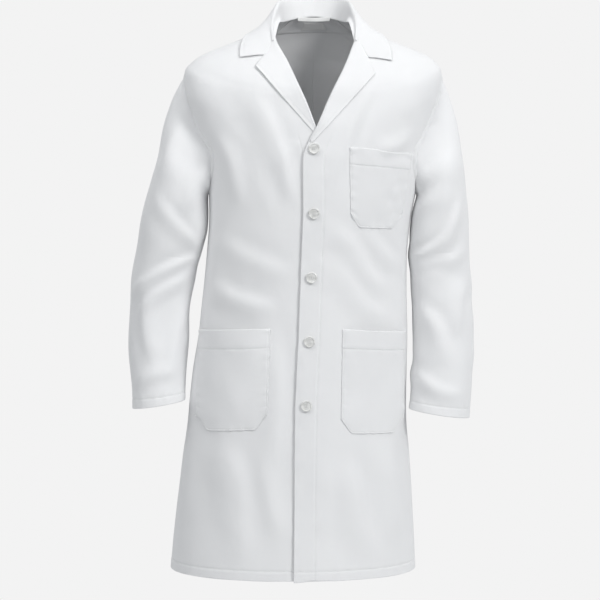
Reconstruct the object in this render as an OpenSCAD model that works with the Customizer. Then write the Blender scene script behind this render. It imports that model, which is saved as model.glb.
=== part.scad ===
// Knee-length lab coat in its worn shape, held by the loop at the back of the neck.
// X points to the wearer's left, Y to the back, Z up; the origin is the hanger loop.
// The cloth is a set of thin closed slabs laid on one loft of horizontal body sections.

/* [Cloth] */
// thickness of one cloth layer, mm
cloth = 1.2; // [0.8:0.1:1.3]
// free space between two layers sewn together, mm
ply_gap = 0.4; // [0.3:0.05:0.5]

/* [Body] */
// back neck seam down to the hem, mm
coat_length = 1037; // [980:1:1100]
// how far each front edge passes the button line, mm
overlap = 19; // [17:0.5:21]
// depth of the turned-up bottom hem, mm
hem_depth = 18; // [12:1:24]

/* [Buttons] */
// outside diameter of a button, mm
button_d = 20.5; // [18:0.5:22]
// thickness of a button at its rim, mm
button_t = 3.4; // [3:0.1:4]
// height of the first button, mm below the loop
button_top = 258; // [250:1:264]
// distance from one button to the next, mm
button_step = 115.8; // [112:0.2:117]

/* [Pockets] */
// how far a pocket mouth stands off the front at its middle, mm
pocket_gape = 10; // [8:0.5:12]
// depth of the hem at a lower pocket's mouth, mm
pocket_hem = 34; // [25:1:40]

/* [Sleeves] */
// depth of the sleeve hem, mm
cuff_hem = 16; // [12:1:25]
// largest elbow bend the sleeve is cut to clear, degrees
elbow_bend = 40; // [30:1:42]

/* [Hidden] */
chest_line = 280;
low_step = (coat_length - chest_line) / 14;
d_in = -ply_gap - cloth;
d_out = -ply_gap;
lining_gap = 2;
d_lining = d_in - lining_gap - cloth;
lift = 2 * ply_gap + 2 * cloth + lining_gap;
flap_slope = 0.607;
flap_top = 760;

// upper body sections: height, left and right half width, half depth, middle,
// roundness, drop of the front, rise of the back
upper = [
    [-15, 62, 62, 58, 5, 2.0, 60, 15],
    [-27, 85, 85, 72, 5, 2.1, 64, 15],
    [-39, 110, 110, 85, 5, 2.2, 68, 10],
    [-56, 150, 150, 100, 4, 2.3, 70, 2],
    [-78, 204, 204, 112, 3, 2.4, 67, -4],
    [-95, 227, 229, 116, 2, 2.4, 62, -8],
    [-113, 237, 241, 119, 2, 2.45, 57, -8],
    [-150, 233, 236, 124, 2, 2.5, 45, -5],
    [-190, 221, 224, 128, 2, 2.5, 30, -2],
    [-235, 209, 212, 131, 2, 2.5, 14, 0],
    [-chest_line, 200, 203, 133, 2, 2.5, 4, 0]
];
// lower body sections, evenly spaced: left and right half width, half depth
lower = [
    [190, 197, 133], [180, 196, 131], [174, 200, 129], [173, 205, 128], [174, 211, 129],
    [175, 217, 131], [174, 226, 134], [173, 232, 137], [174, 237, 140], [179, 245, 143],
    [183, 252, 146], [186, 259, 149], [189, 265, 152], [191, 270, 155]
];
sections = concat(upper, [
    for (i = [0:13])
        [-chest_line - low_step * (i + 1), lower[i][0], lower[i][1], lower[i][2],
         2, 2.5 - 0.022 * (i + 1), 0, 0]
]);
last = len(sections) - 1;

// smooth value of column c between the sections around t
function sec(t, c) =
    let (i = min(max(floor(t), 0), last - 1), f = min(max(t, 0), last) - i,
         b = sections[i][c], d = sections[i + 1][c],
         a = i > 0 ? sections[i - 1][c] : 2 * b - d,
         e = i + 2 <= last ? sections[i + 2][c] : 2 * d - b)
    b + 0.5 * f * (d - a + f * (2 * a - 5 * b + 4 * d - e + f * (3 * (b - d) + e - a)));
function spow(v, p) = sign(v) * pow(abs(v), p);
// point of the body surface at section t and angle u, front at -90
function surf(t, u) =
    let (xl = sec(t, 1), xr = sec(t, 2), n = sec(t, 5),
         c = spow(cos(u), 2 / n), s = spow(sin(u), 2 / n))
    [(xl - xr) / 2 + (xl + xr) / 2 * c, sec(t, 4) + sec(t, 3) * s,
     sec(t, 0) - (s < 0 ? sec(t, 6) : -sec(t, 7)) * s * s];
function unit(v) = v / max(norm(v), 1e-9);
function outward(t, u) =
    unit(cross(surf(t + 0.02, u) - surf(t - 0.02, u), surf(t, u + 1) - surf(t, u - 1)));
function at(t, u, d) = surf(t, u) + d * outward(t, u);
// front angle of the point that is x across at section t
function across(t, x) =
    let (xl = sec(t, 1), xr = sec(t, 2), q = (x - (xl - xr) / 2) / ((xl + xr) / 2))
    -acos(min(max(spow(q, sec(t, 5) / 2), -0.9999), 0.9999));
// section whose front is z high, below the chest line
function low_t(z) = 10 + (z - chest_line) / low_step;
function mix(a, b, f) = a + (b - a) * f;
function ease(f) = let (g = min(max(f, 0), 1)) g * g * (3 - 2 * g);

// the button line, the two roll lines and the two front edges, by section
function middle_x(t) =
    lookup(t, [[8, 2], [9.3, -1], [11.7, -1], [13.9, -5.5], [16, -9.5], [18.2, -15], [24, -18]]);
left_edge_x = [[0.8, 77], [1.1, 76], [1.5, 70], [2, 61], [2.6, 53], [3.7, 42], [5.4, 28],
    [6.7, 14], [8, 3], [8.5, -5], [9, -12], [9.6, -17]];
right_edge_x = [[0.8, -75], [1.17, -69], [1.5, -60], [2, -48], [2.6, -39], [3.7, -30], [5, -21],
    [6.4, -12], [7.2, -5], [8, 3], [8.6, 8], [9.2, 13]];
function left_x(t) =
    mix(lookup(t, left_edge_x), middle_x(t) - overlap, ease((t - 9) / 1));
function right_x(t) =
    mix(lookup(t, right_edge_x), middle_x(t) + overlap, ease((t - 9) / 1));
function arm_front(t) =
    lookup(t, [[6, 0], [7, 4], [8, 8], [8.8, 17], [9.5, 25], [10.1, 23], [10.6, 15], [11, 0]]);
function arm_back(t) =
    lookup(t, [[6, 0], [7, 8], [8, 13], [9, 20], [9.6, 23], [10.2, 20], [10.7, 11], [11, 0]]);

// line where a lower front corner folds away, by section
function left_fold_x(t) = left_x(low_t(flap_top)) + 8
    + flap_slope * max(0, -sec(t, 0) - flap_top);
function right_fold_x(t) = right_x(low_t(flap_top)) - 8
    - flap_slope * max(0, -sec(t, 0) - flap_top);
// extra height of the left front where it lies over the right one
function over(t, x) =
    lift * ease((t - 6) / 2) * ease((90 - (x - middle_x(t))) / 80);

// closed slab between two grids of points, without the cells listed in gaps
module slab(a, b, gaps = []) {
    m = len(a) - 1;
    n = len(a[0]) - 1;
    w = n + 1;
    half = (m + 1) * w;
    function id(i, j) = i * w + j;
    function solid(i, j) =
        i >= 0 && j >= 0 && i < m && j < n && len([for (g = gaps) if (g == [i, j]) 1]) == 0;
    function wall(p, q) = [[p, q, q + half], [p, q + half, p + half]];
    points = concat([for (r = a) for (p = r) p], [for (r = b) for (p = r) p]);
    faces = [
        for (i = [0:m - 1]) for (j = [0:n - 1]) if (solid(i, j))
            let (p = id(i, j), q = id(i, j + 1), r = id(i + 1, j + 1), s = id(i + 1, j))
            for (f = concat(
                [[p, r, q], [p, s, r]],
                [[p + half, q + half, r + half], [p + half, r + half, s + half]],
                solid(i - 1, j) ? [] : wall(p, q),
                solid(i + 1, j) ? [] : wall(r, s),
                solid(i, j - 1) ? [] : wall(s, p),
                solid(i, j + 1) ? [] : wall(q, r))) f
    ];
    polyhedron(points = points, faces = faces, convexity = 10);
}

// closed tube between two stacks of rings
module tube(a, b) {
    m = len(a) - 1;
    n = len(a[0]);
    half = (m + 1) * n;
    function id(i, j) = i * n + j % n;
    points = concat([for (r = a) for (p = r) p], [for (r = b) for (p = r) p]);
    faces = concat(
        [for (i = [0:m - 1]) for (j = [0:n - 1])
            let (p = id(i, j), q = id(i, j + 1), r = id(i + 1, j + 1), s = id(i + 1, j))
            for (f = [[p, r, q], [p, s, r], [p + half, q + half, r + half],
                [p + half, r + half, s + half]]) f],
        [for (j = [0:n - 1]) for (e = [[id(0, j), id(0, j + 1)], [id(m, j + 1), id(m, j)]])
            for (f = [[e[0], e[1], e[1] + half], [e[0], e[1] + half, e[0] + half]]) f]
    );
    polyhedron(points = points, faces = faces, convexity = 10);
}

// slab on the body surface: rows of sections, one list of angles for each row
module panel(ts, us, lo, hi, gaps = [], flip = false) {
    a = [for (i = [0:len(ts) - 1]) [for (j = [0:len(us[i]) - 1]) at(ts[i], us[i][j], hi(ts[i], us[i][j]))]];
    b = [for (i = [0:len(ts) - 1]) [for (j = [0:len(us[i]) - 1]) at(ts[i], us[i][j], lo(ts[i], us[i][j]))]];
    if (flip) slab(b, a, gaps);
    else slab(a, b, gaps);
}
function spread(u0, u1, n) = [for (j = [0:n]) mix(u0, u1, j / n)];
function steps(t0, t1, n) = [for (i = [0:n]) mix(t0, t1, i / n)];

shell_in = function (t, u) d_in;
shell_out = function (t, u) d_out;
over_in = function (t, u) d_in + over(t, surf(t, u)[0]);
over_out = function (t, u) d_out + over(t, surf(t, u)[0]);
lining_in = function (t, u) d_lining;
lining_out = function (t, u) d_lining + cloth;
over_lining_in = function (t, u) d_lining + over(t, surf(t, u)[0]);
over_lining_out = function (t, u) d_lining + cloth + over(t, surf(t, u)[0]);

back_rows = concat([0.08, 0.6, 1.3, 2, 2.8, 3.6, 4.4, 5.2, 6, 6.6, 7.3, 8, 8.7, 9.4, 10, 10.5, 11],
    steps(11.8, 24, 16));
seam_deg = 0.05;

module back_half(side) {
    us = [for (t = back_rows)
        let (e = arm_back(t))
        side > 0 ? spread(90 - seam_deg, e + seam_deg, 8)
                 : spread(90 + seam_deg, 180 - e - seam_deg, 8)];
    panel(back_rows, us, shell_in, shell_out, [], side < 0);
}

module back_left() {
    color("white") back_half(1);
}

module back_right() {
    color("white") back_half(-1);
}

function button_z(k) = -button_top - k * button_step;
// section of the front whose middle is z high
function front_t(z, lo = 6, hi = 24, n = 16) =
    n == 0 ? (lo + hi) / 2
    : let (c = (lo + hi) / 2) surf(c, -89)[2] > z ? front_t(z, c, hi, n - 1) : front_t(z, lo, c, n - 1);
button_t_at = [for (k = [0:4]) front_t(button_z(k))];
button_u_at = [for (t = button_t_at) across(t, middle_x(t))];
hole_rows = [for (t = button_t_at) for (s = [-0.045, 0.045]) t + s];

flap_t = low_t(flap_top);
left_rows = [0.8, 1.1, 1.6, 2.2, 2.9, 3.7, 4.5, 5.2, 6, 6.6, 7.2, 7.8, 8.4, 8.9,
    hole_rows[0], hole_rows[1], 9.7, 10.15, 10.6, 11, hole_rows[2], hole_rows[3], 12.4, 13.1,
    hole_rows[4], hole_rows[5], 14.5, 15.2, hole_rows[6], hole_rows[7], 16.7, 17.4,
    hole_rows[8], hole_rows[9], flap_t, flap_t + 0.06, 19.7, 20.5, 21.4, 22.3, 23.1, 24];
right_rows = [0.8, 1.1, 1.6, 2.2, 2.9, 3.7, 4.5, 5.2, 6, 6.6, 7.2, 7.8, 8.4, 8.9, 9.4, 9.9, 10.3,
    10.65, 11, 11.8, 12.6, 13.4, 14.2, 15, 15.8, 16.6, 17.4, 18.2, flap_t, flap_t + 0.06,
    19.7, 20.5, 21.4, 22.3, 23.1, 24];

function left_start(t) = across(t, t <= flap_t ? left_x(t) : left_fold_x(t) + 1.5);
function right_start(t) = across(t, t <= flap_t ? right_x(t) : right_fold_x(t) - 1.5);
function left_end(t) = -arm_front(t) - seam_deg;
function right_end(t) = -180 + arm_front(t) + seam_deg;
// share of the width of the left front that is dx from its edge
function left_share(t, dx) =
    let (s = min(max(t, 9.2), flap_t))
    (across(s, left_x(s) + dx) - across(s, left_x(s))) / (left_end(s) - across(s, left_x(s)));
hole_inner = overlap - 6.5;
hole_outer = overlap + 15.5;
left_columns = 9;

module front_left() {
    us = [for (t = left_rows)
        let (a = left_start(t), b = left_end(t), p = left_share(t, hole_inner),
             q = left_share(t, hole_outer))
        concat([a, mix(a, b, p)], [for (j = [0:left_columns - 2]) mix(a, b, mix(q, 1, j / (left_columns - 2)))])];
    holes = [for (k = [0:4]) [search(hole_rows[2 * k], left_rows)[0], 1]];
    color("white") panel(left_rows, us, over_in, over_out, holes, true);
}

module front_right() {
    us = [for (t = right_rows) spread(right_start(t), right_end(t), 8)];
    color("white") panel(right_rows, us, shell_in, shell_out);
}

flap_rows = concat([flap_t + 0.08, 19.3], steps(19.7, 24, 7));

module front_left_corner() {
    us = [for (t = flap_rows) spread(across(t, left_x(t)), across(t, left_fold_x(t)), 5)];
    color("white") panel(flap_rows, us, over_in, over_out, [], true);
}

module front_right_corner() {
    us = [for (t = flap_rows) spread(across(t, right_x(t)), across(t, right_fold_x(t)), 5)];
    color("white") panel(flap_rows, us, shell_in, shell_out);
}

facing_width = 2 * overlap;
facing_rows = [8.2, 8.6, 8.9, hole_rows[0], hole_rows[1], 9.7, 10.3, 11, hole_rows[2], hole_rows[3],
    12.4, 13.1, hole_rows[4], hole_rows[5], 14.5, 15.2, hole_rows[6], hole_rows[7], 16.7, 17.4,
    hole_rows[8], hole_rows[9], flap_t];

module facing_left() {
    us = [for (t = facing_rows)
        let (a = across(t, left_x(t)), b = left_end(t))
        [mix(a, b, 0.002), mix(a, b, left_share(t, hole_inner)),
         mix(a, b, left_share(t, hole_outer)), mix(a, b, left_share(t, facing_width + 2))]];
    holes = [for (k = [0:4]) [search(hole_rows[2 * k], facing_rows)[0], 1]];
    color("white") panel(facing_rows, us, over_lining_in, over_lining_out, holes, true);
}

module facing_right() {
    rows = steps(8.4, flap_t, 14);
    us = [for (t = rows) spread(across(t, right_x(t) - 0.5), across(t, right_x(t) - facing_width - 2), 3)];
    color("white") panel(rows, us, lining_in, lining_out);
}

corner_rows = [flap_t + 0.3, 20, 20.8, 21.6, 22.4, 23.2, 23.98];

module facing_left_corner() {
    us = [for (t = corner_rows)
        spread(across(t, left_x(t) + 0.5),
               across(t, min(left_x(t) + facing_width, left_fold_x(t) - 1)), 3)];
    color("white") panel(corner_rows, us, over_lining_in, over_lining_out, [], true);
}

module facing_right_corner() {
    us = [for (t = corner_rows)
        spread(across(t, right_x(t) - 0.5),
               across(t, max(right_x(t) - facing_width, right_fold_x(t) + 1)), 3)];
    color("white") panel(corner_rows, us, lining_in, lining_out);
}

hem_rows = [24 - hem_depth / low_step, 23.98];

module hem_back() {
    us = [for (t = hem_rows)
        concat(spread(seam_deg + 1, 90 - seam_deg, 8), spread(90 + seam_deg, 179 - seam_deg, 8))];
    color("white") panel(hem_rows, us, lining_in, lining_out, [], true);
}

module hem_left() {
    us = [for (t = hem_rows) spread(across(t, left_fold_x(t) + 2.5), -1, 6)];
    color("white") panel(hem_rows, us, over_lining_in, over_lining_out, [], true);
}

module hem_right() {
    us = [for (t = hem_rows) spread(across(t, right_fold_x(t) - 2.5), -179, 5)];
    color("white") panel(hem_rows, us, lining_in, lining_out);
}

module hem_left_corner() {
    us = [for (t = hem_rows)
        spread(across(t, left_x(t) + facing_width + 1), across(t, left_fold_x(t) - 1), 5)];
    color("white") panel(hem_rows, us, over_lining_in, over_lining_out, [], true);
}

module hem_right_corner() {
    us = [for (t = hem_rows)
        spread(across(t, right_x(t) - facing_width - 1), across(t, right_fold_x(t) + 1), 5)];
    color("white") panel(hem_rows, us, lining_in, lining_out);
}

// lapels: the turned-back tops of the fronts, one row for each section
left_lapel_x = [[1.3, 78], [2.6, 97], [3.5, 110], [5, 91], [6.3, 66], [7.5, 35], [8.4, 10], [8.8, -2]];
right_lapel_x = [[1.3, -72], [2.4, -91], [3.25, -106], [4.1, -85], [5, -64], [6.8, -29], [7.8, -8]];
lapel_lift = 5;

module lapel_left() {
    rows = [1.35, 1.7, 2.1, 2.6, 3, 3.5, 4, 4.6, 5.2, 5.8, 6.4, 7, 7.6, 8.1, 8.5];
    us = [for (t = rows) spread(across(t, left_x(t) + 0.5), across(t, lookup(t, left_lapel_x)), 5)];
    base = function (t, u)
        let (x0 = left_x(t), x1 = lookup(t, left_lapel_x),
             f = min(max((surf(t, u)[0] - x0) / (x1 - x0), 0), 1))
        over_out(t, u) + 0.8 + lapel_lift * pow(1 - f, 1.5) * ease((9 - t) / 3);
    color("white") panel(rows, us, base, function (t, u) base(t, u) + cloth, [], true);
}

module lapel_right() {
    rows = [1.35, 1.7, 2.1, 2.4, 2.8, 3.25, 3.8, 4.4, 5, 5.6, 6.2, 6.8, 7.3, 7.7];
    us = [for (t = rows) spread(across(t, right_x(t) - 0.5), across(t, lookup(t, right_lapel_x)), 5)];
    base = function (t, u)
        let (x0 = right_x(t), x1 = lookup(t, right_lapel_x),
             f = min(max((surf(t, u)[0] - x0) / (x1 - x0), 0), 1))
        d_out + 0.8 + lapel_lift * pow(1 - f, 1.5) * ease((9 - t) / 3);
    color("white") panel(rows, us, base, function (t, u) base(t, u) + cloth);
}

// collar: angles from the back middle round to the front ends
roll_keys = [[90, [0, 74, 33]], [60, [37, 64, 31]], [30, [60, 40, 25]], [0, [69, 10, 12]],
    [-18, [76, -18, -20]], [-38, [74, -48, -56]]];
function roll(u) =
    let (k = len([for (r = roll_keys) if (r[0] >= u) 1]) - 1, i = min(max(k, 0), len(roll_keys) - 2),
         f = (roll_keys[i][0] - u) / (roll_keys[i][0] - roll_keys[i + 1][0]))
    mix(roll_keys[i][1], roll_keys[i + 1][1], f);
leaf_edge_t = [[-40, 3.35], [-6, 2.4], [0, 2.15], [30, 2], [90, 1.9]];
function leaf_end(f) = lookup(f, [[0, 38], [0.5, 45], [1, 38]]);
function leaf_point(v, f, d) =
    let (u = 90 - abs(v) * (90 + leaf_end(f)), r = roll(u),
         t = lookup(u, leaf_edge_t) * mix(0.45, 1, f),
         s = at(t, u, d + 2.2 + 9 * pow(1 - f, 1.4)),
         g = ease(f / 0.35), p = mix(r + [0, 0, d - 1.2], s, g))
    [v < 0 ? -p[0] : p[0], p[1], p[2]];

module collar_leaf() {
    vs = steps(-1, 1, 36);
    fs = [0, 0.12, 0.25, 0.4, 0.5, 0.65, 0.82, 1];
    lay = 2 * cloth + ply_gap;
    a = [for (v = vs) [for (f = fs) leaf_point(v, f, cloth + ply_gap + lay)]];
    b = [for (v = vs) [for (f = fs) leaf_point(v, f, cloth + ply_gap)]];
    color("white") slab(b, a);
}

module collar_stand() {
    vs = steps(-1, 1, 24);
    gs = [0, 0.5, 1];
    function stand_point(v, g, d) =
        let (u = 90 - abs(v) * 99, a = surf(0, u), r = roll(u) - [0, 0, 6], m = mix(a, r, g),
             o = unit([m[0], m[1] - 5, 0]), p = m - (2.5 - d) * o)
        [v < 0 ? -p[0] : p[0], p[1], p[2]];
    a = [for (v = vs) [for (g = gs) stand_point(v, g, cloth)]];
    b = [for (v = vs) [for (g = gs) stand_point(v, g, 0)]];
    color("white") slab(a, b);
}

module neck_facing() {
    rows = [0.25, 0.8, 1.4, 2];
    us = [for (t = rows) spread(50, 130, 8)];
    color("white") panel(rows, us, lining_in, lining_out, [], true);
}

module neck_label() {
    rows = [0.95, 1.35, 1.75];
    us = [for (t = rows) spread(78, 102, 3)];
    color("white") panel(rows, us, function (t, u) d_lining - 1.8,
        function (t, u) d_lining - 1, [], true);
}

loop_reach = 9;
loop_y = surf(0.3, 90)[1] + d_lining - 1;

module hanger_loop() {
    xs = steps(-30, 30, 12);
    function loop_point(x, z, d) =
        let (e = cos(3 * x)) [x, loop_y - 0.0112 * x * x - loop_reach * e * e - d, z];
    a = [for (x = xs) [loop_point(x, -12, 0), loop_point(x, -5, 0)]];
    b = [for (x = xs) [loop_point(x, -12, 1), loop_point(x, -5, 1)]];
    color("white") slab(b, a);
}

// sleeves: outer point x z, inner point x z, middle y, half depth
left_arm = [
    [277, -270, 192, -346, 0, 68], [282, -312, 187, -376, 0, 70], [286, -356, 184, -404, 2, 70],
    [289, -398, 183, -428, 4, 69], [291, -430, 183, -440, 6, 68], [293, -462, 184, -462, 7, 66],
    [293.5, -468, 184, -468, 7, 66], [296, -520, 184.5, -520, 3, 64], [298, -585, 183.5, -585, -6, 62],
    [295, -680, 181.5, -674, -22, 58], [290, -752, 177, -736, -34, 54]
];
right_arm = [
    [290, -265, 203, -346, 0, 70], [303, -308, 204, -378, 0, 72], [316, -352, 206, -406, 2, 72],
    [327, -396, 207, -432, 4, 70], [334, -436, 212, -452, 6, 68], [340, -477, 222, -477, 7, 66],
    [340.5, -483, 223, -483, 7, 66], [344, -532, 230, -532, 3, 63], [346.5, -600, 234, -600, -6, 60],
    [341.5, -678, 238, -672, -22, 56], [338, -735, 238.5, -719, -34, 52]
];
arm_sides = 24;
elbow_tan = tan((elbow_bend + 2) / 2);
// one ring of a sleeve, d outside its middle surface, with an elbow notch of share k
function arm_ring(row, side, d, k = 0) =
    let (o = [row[0], row[4], row[1]], n = [row[2], row[4], row[3]], c = (o + n) / 2,
         e = unit(o - n), r = norm(o - n) / 2)
    [for (j = [0:arm_sides - 1])
        let (a = 360 * j / arm_sides, p = c + (r + d) * cos(a) * e + [0, (row[5] + d) * sin(a), 0])
        [side * p[0], p[1], p[2] + k * elbow_tan * max(0, row[4] - p[1])]];

module sleeve_part(arm, side, first, end, notch_first, notch_end, inner, outer) {
    a = [for (i = [first:end]) arm_ring(arm[i], side, outer,
        i == end ? notch_end : i == first ? notch_first : 0)];
    b = [for (i = [first:end]) arm_ring(arm[i], side, inner,
        i == end ? notch_end : i == first ? notch_first : 0)];
    if (side > 0) tube(b, a);
    else tube(a, b);
}

// the fixed head of the sleeve, from the armhole to just above the moving part
module sleeve_head(arm, side, bulge) {
    m = arm[0];
    o = [m[0], 0, m[1]];
    n = [m[2], 0, m[3]];
    up = unit([n[2] - o[2], 0, o[0] - n[0]]) * 3;
    function hole_point(a, d) =
        let (f = a <= 180 ? a / 180 : (360 - a) / 180, t = mix(5.9, 11, f),
             u = a <= 180 ? arm_back(t) : -arm_front(t), p = at(t, side > 0 ? u : 180 - u, d))
        [abs(p[0]) + 3, p[1], p[2]];
    function ring(s, d) =
        [for (j = [0:arm_sides - 1])
            let (a = 360 * j / arm_sides, h = hole_point(a, d),
                 e = arm_ring(m, 1, d)[j] + up,
                 q = mix(h, e, s) + [bulge * sin(180 * s) * max(0, cos(a)), 0, 0])
            [side * q[0], q[1], q[2]]];
    a = [for (s = [0, 0.2, 0.45, 0.72, 1]) ring(s, 0)];
    b = [for (s = [0, 0.2, 0.45, 0.72, 1]) ring(s, -cloth)];
    if (side > 0) tube(b, a);
    else tube(a, b);
}

module sleeve_head_left() {
    color("white") sleeve_head(left_arm, 1, 3);
}

module sleeve_head_right() {
    color("white") sleeve_head(right_arm, -1, 9);
}

module sleeve_left_upper() {
    color("white") sleeve_part(left_arm, 1, 0, 5, 0, 1, -cloth, 0);
}

module sleeve_right_upper() {
    color("white") sleeve_part(right_arm, -1, 0, 5, 0, 1, -cloth, 0);
}

module sleeve_left_lower() {
    color("white") sleeve_part(left_arm, 1, 6, 10, -1, 0, -cloth, 0);
}

module sleeve_right_lower() {
    color("white") sleeve_part(right_arm, -1, 6, 10, -1, 0, -cloth, 0);
}

module cuff(arm, side) {
    f = cuff_hem / 75;
    rows = [mix(arm[10], arm[9], f), mix(arm[10], arm[9], 0.01)];
    a = [for (r = rows) arm_ring(r, side, -cloth - ply_gap)];
    b = [for (r = rows) arm_ring(r, side, -2 * cloth - ply_gap)];
    if (side > 0) tube(b, a);
    else tube(a, b);
}

module cuff_left() {
    color("white") cuff(left_arm, 1);
}

module cuff_right() {
    color("white") cuff(right_arm, -1);
}

pocket_gap = 1;
// patch pockets: corner positions in front view as x and mm below the loop
chest_pocket_box = [[63, 256], [178, 266], [66, 398], [158, 402]];
left_pocket_box = [[51, 584], [166, 592], [48, 771], [164, 776]];
right_pocket_box = [[-81, 583], [-212, 590], [-86, 763], [-217, 772]];

// grid of a patch pocket; the bottom corners are cut off
module patch(box, chamfer, gape, q0, q1, lo, th, side, rows, columns) {
    function corner(p, q) =
        let (x = mix(mix(box[0][0], box[1][0], p), mix(box[2][0], box[3][0], p), q),
             z = mix(mix(box[0][1], box[1][1], p), mix(box[2][1], box[3][1], p), q),
             rise = chamfer * max(0, 1 - p / 0.16, 1 - (1 - p) / 0.16) * pow(q, 6),
             t = pocket_t(-(z - rise), x), u = across(t, x),
             w = pow(sin(180 * p), 0.7) * pow(1 - q, 1.2))
        [t, u, gape * w];
    function rim(t, u) = side > 0 ? over_out(t, u) : d_out;
    a = [for (q = steps(q0, q1, rows)) [for (p = steps(0, 1, columns))
        let (c = corner(p, q)) at(c[0], c[1], rim(c[0], c[1]) + c[2] + lo + th)]];
    b = [for (q = steps(q0, q1, rows)) [for (p = steps(0, 1, columns))
        let (c = corner(p, q)) at(c[0], c[1], rim(c[0], c[1]) + c[2] + lo)]];
    if (side > 0) slab(b, a);
    else slab(a, b);
}
// section of the front that is z high at x
function pocket_t(z, x, lo = 6, hi = 24, n = 14) =
    n == 0 ? (lo + hi) / 2
    : let (c = (lo + hi) / 2)
      surf(c, across(c, x))[2] > z ? pocket_t(z, x, c, hi, n - 1) : pocket_t(z, x, lo, c, n - 1);

module chest_pocket() {
    color("white") patch(chest_pocket_box, 22, pocket_gape, 0, 1, pocket_gap, cloth, 1, 9, 10);
}

module chest_pocket_hem() {
    color("white")
        patch(chest_pocket_box, 22, pocket_gape, 0, 0.13, pocket_gap + ply_gap + cloth, cloth / 2, 1, 2, 10);
}

module pocket_left() {
    color("white") patch(left_pocket_box, 26, pocket_gape, 0, 1, pocket_gap, cloth, 1, 9, 11);
}

module pocket_left_hem() {
    color("white") patch(left_pocket_box, 26, pocket_gape, 0, pocket_hem / 187,
        pocket_gap + ply_gap + cloth, cloth / 2, 1, 2, 11);
}

module pocket_right() {
    color("white") patch(right_pocket_box, 26, pocket_gape, 0, 1, pocket_gap, cloth, -1, 9, 11);
}

module pocket_right_hem() {
    color("white") patch(right_pocket_box, 26, pocket_gape, 0, pocket_hem / 182,
        pocket_gap + ply_gap + cloth, cloth / 2, -1, 2, 11);
}

// buttons stand on the left front and are sewn to the right front behind it
button_stand = d_out + lift + 0.9;
hole_d = 1.9;
hole_reach = 2.2;
thread_d = 1.2;
module at_button(k) {
    t = button_t_at[k];
    u = button_u_at[k];
    n = outward(t, u);
    translate(surf(t, u) + button_stand * n)
        rotate([90, 0, 0])
            rotate([asin(-n[2]), 0, 0])
                children();
}

module button(k) {
    r = button_d / 2;
    difference() {
        rotate_extrude($fn = 64)
            polygon([[0, 0], [r - 1.2, 0], [r - 0.3, 0.6], [r, 1.5], [r - 0.2, button_t - 0.5],
                [r - 1, button_t], [r - 2, button_t - 0.1], [r - 3.2, button_t - 1.1], [0, button_t - 1.3]]);
        for (a = [45:90:315])
            rotate(a) translate([hole_reach, 0, -1]) cylinder(d = hole_d, h = button_t + 2, $fn = 24);
    }
}

// two crossed stitches through the holes, and the shank behind them
module thread(k) {
    reach = hole_reach * sqrt(0.5);
    for (s = [-1, 1]) {
        for (e = [-1, 1])
            translate([s * reach, e * reach, -0.2]) cylinder(d = thread_d, h = button_t - 0.4, $fn = 12);
        translate([s * reach, 0, button_t - 0.5])
            cube([thread_d, 2 * reach + thread_d, 0.8], center = true);
    }
    translate([0, 0, -button_stand + d_out + 0.5]) cylinder(d = 2.2, h = button_stand - d_out - 0.75, $fn = 16);
    translate([0, 0, -0.35]) cube([2 * reach + thread_d, 2 * reach + thread_d, 0.5], center = true);
}

module button_1() {
    color("ivory") at_button(0) button(0);
}

module button_2() {
    color("ivory") at_button(1) button(1);
}

module button_3() {
    color("ivory") at_button(2) button(2);
}

module button_4() {
    color("ivory") at_button(3) button(3);
}

module button_5() {
    color("ivory") at_button(4) button(4);
}

module thread_1() {
    color("white") at_button(0) thread(0);
}

module thread_2() {
    color("white") at_button(1) thread(1);
}

module thread_3() {
    color("white") at_button(2) thread(2);
}

module thread_4() {
    color("white") at_button(3) thread(3);
}

module thread_5() {
    color("white") at_button(4) thread(4);
}

back_left();
back_right();
front_left();
front_right();
front_left_corner();
front_right_corner();
facing_left();
facing_right();
facing_left_corner();
facing_right_corner();
hem_back();
hem_left();
hem_right();
hem_left_corner();
hem_right_corner();
lapel_left();
lapel_right();
collar_leaf();
collar_stand();
neck_facing();
neck_label();
hanger_loop();
sleeve_head_left();
sleeve_head_right();
sleeve_left_upper();
sleeve_right_upper();
sleeve_left_lower();
sleeve_right_lower();
cuff_left();
cuff_right();
chest_pocket();
chest_pocket_hem();
pocket_left();
pocket_left_hem();
pocket_right();
pocket_right_hem();
button_1();
button_2();
button_3();
button_4();
button_5();
thread_1();
thread_2();
thread_3();
thread_4();
thread_5();
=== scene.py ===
import bpy
import numpy as np
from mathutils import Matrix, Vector


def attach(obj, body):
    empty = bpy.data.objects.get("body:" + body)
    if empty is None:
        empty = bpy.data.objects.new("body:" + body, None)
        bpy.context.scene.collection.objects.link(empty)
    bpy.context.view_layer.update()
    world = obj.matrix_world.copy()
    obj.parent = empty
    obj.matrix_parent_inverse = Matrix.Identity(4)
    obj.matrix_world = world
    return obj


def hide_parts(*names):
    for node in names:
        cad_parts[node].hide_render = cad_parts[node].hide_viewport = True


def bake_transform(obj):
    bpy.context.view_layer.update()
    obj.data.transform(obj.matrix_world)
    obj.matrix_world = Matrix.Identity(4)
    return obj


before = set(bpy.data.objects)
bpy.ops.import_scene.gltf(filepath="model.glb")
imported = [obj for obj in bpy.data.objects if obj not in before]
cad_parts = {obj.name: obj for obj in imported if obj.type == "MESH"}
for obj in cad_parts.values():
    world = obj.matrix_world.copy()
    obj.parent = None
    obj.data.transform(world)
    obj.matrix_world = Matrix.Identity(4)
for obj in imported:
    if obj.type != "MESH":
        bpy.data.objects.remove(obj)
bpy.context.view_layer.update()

MM = 0.001


# ---- camera
def aim(obj, place, target):
    """Link a camera or light to the scene and point it from place at target (m)."""
    obj.location = place
    obj.rotation_euler = (Vector(target) - Vector(place)).to_track_quat("-Z", "Y").to_euler()
    bpy.context.scene.collection.objects.link(obj)


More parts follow.
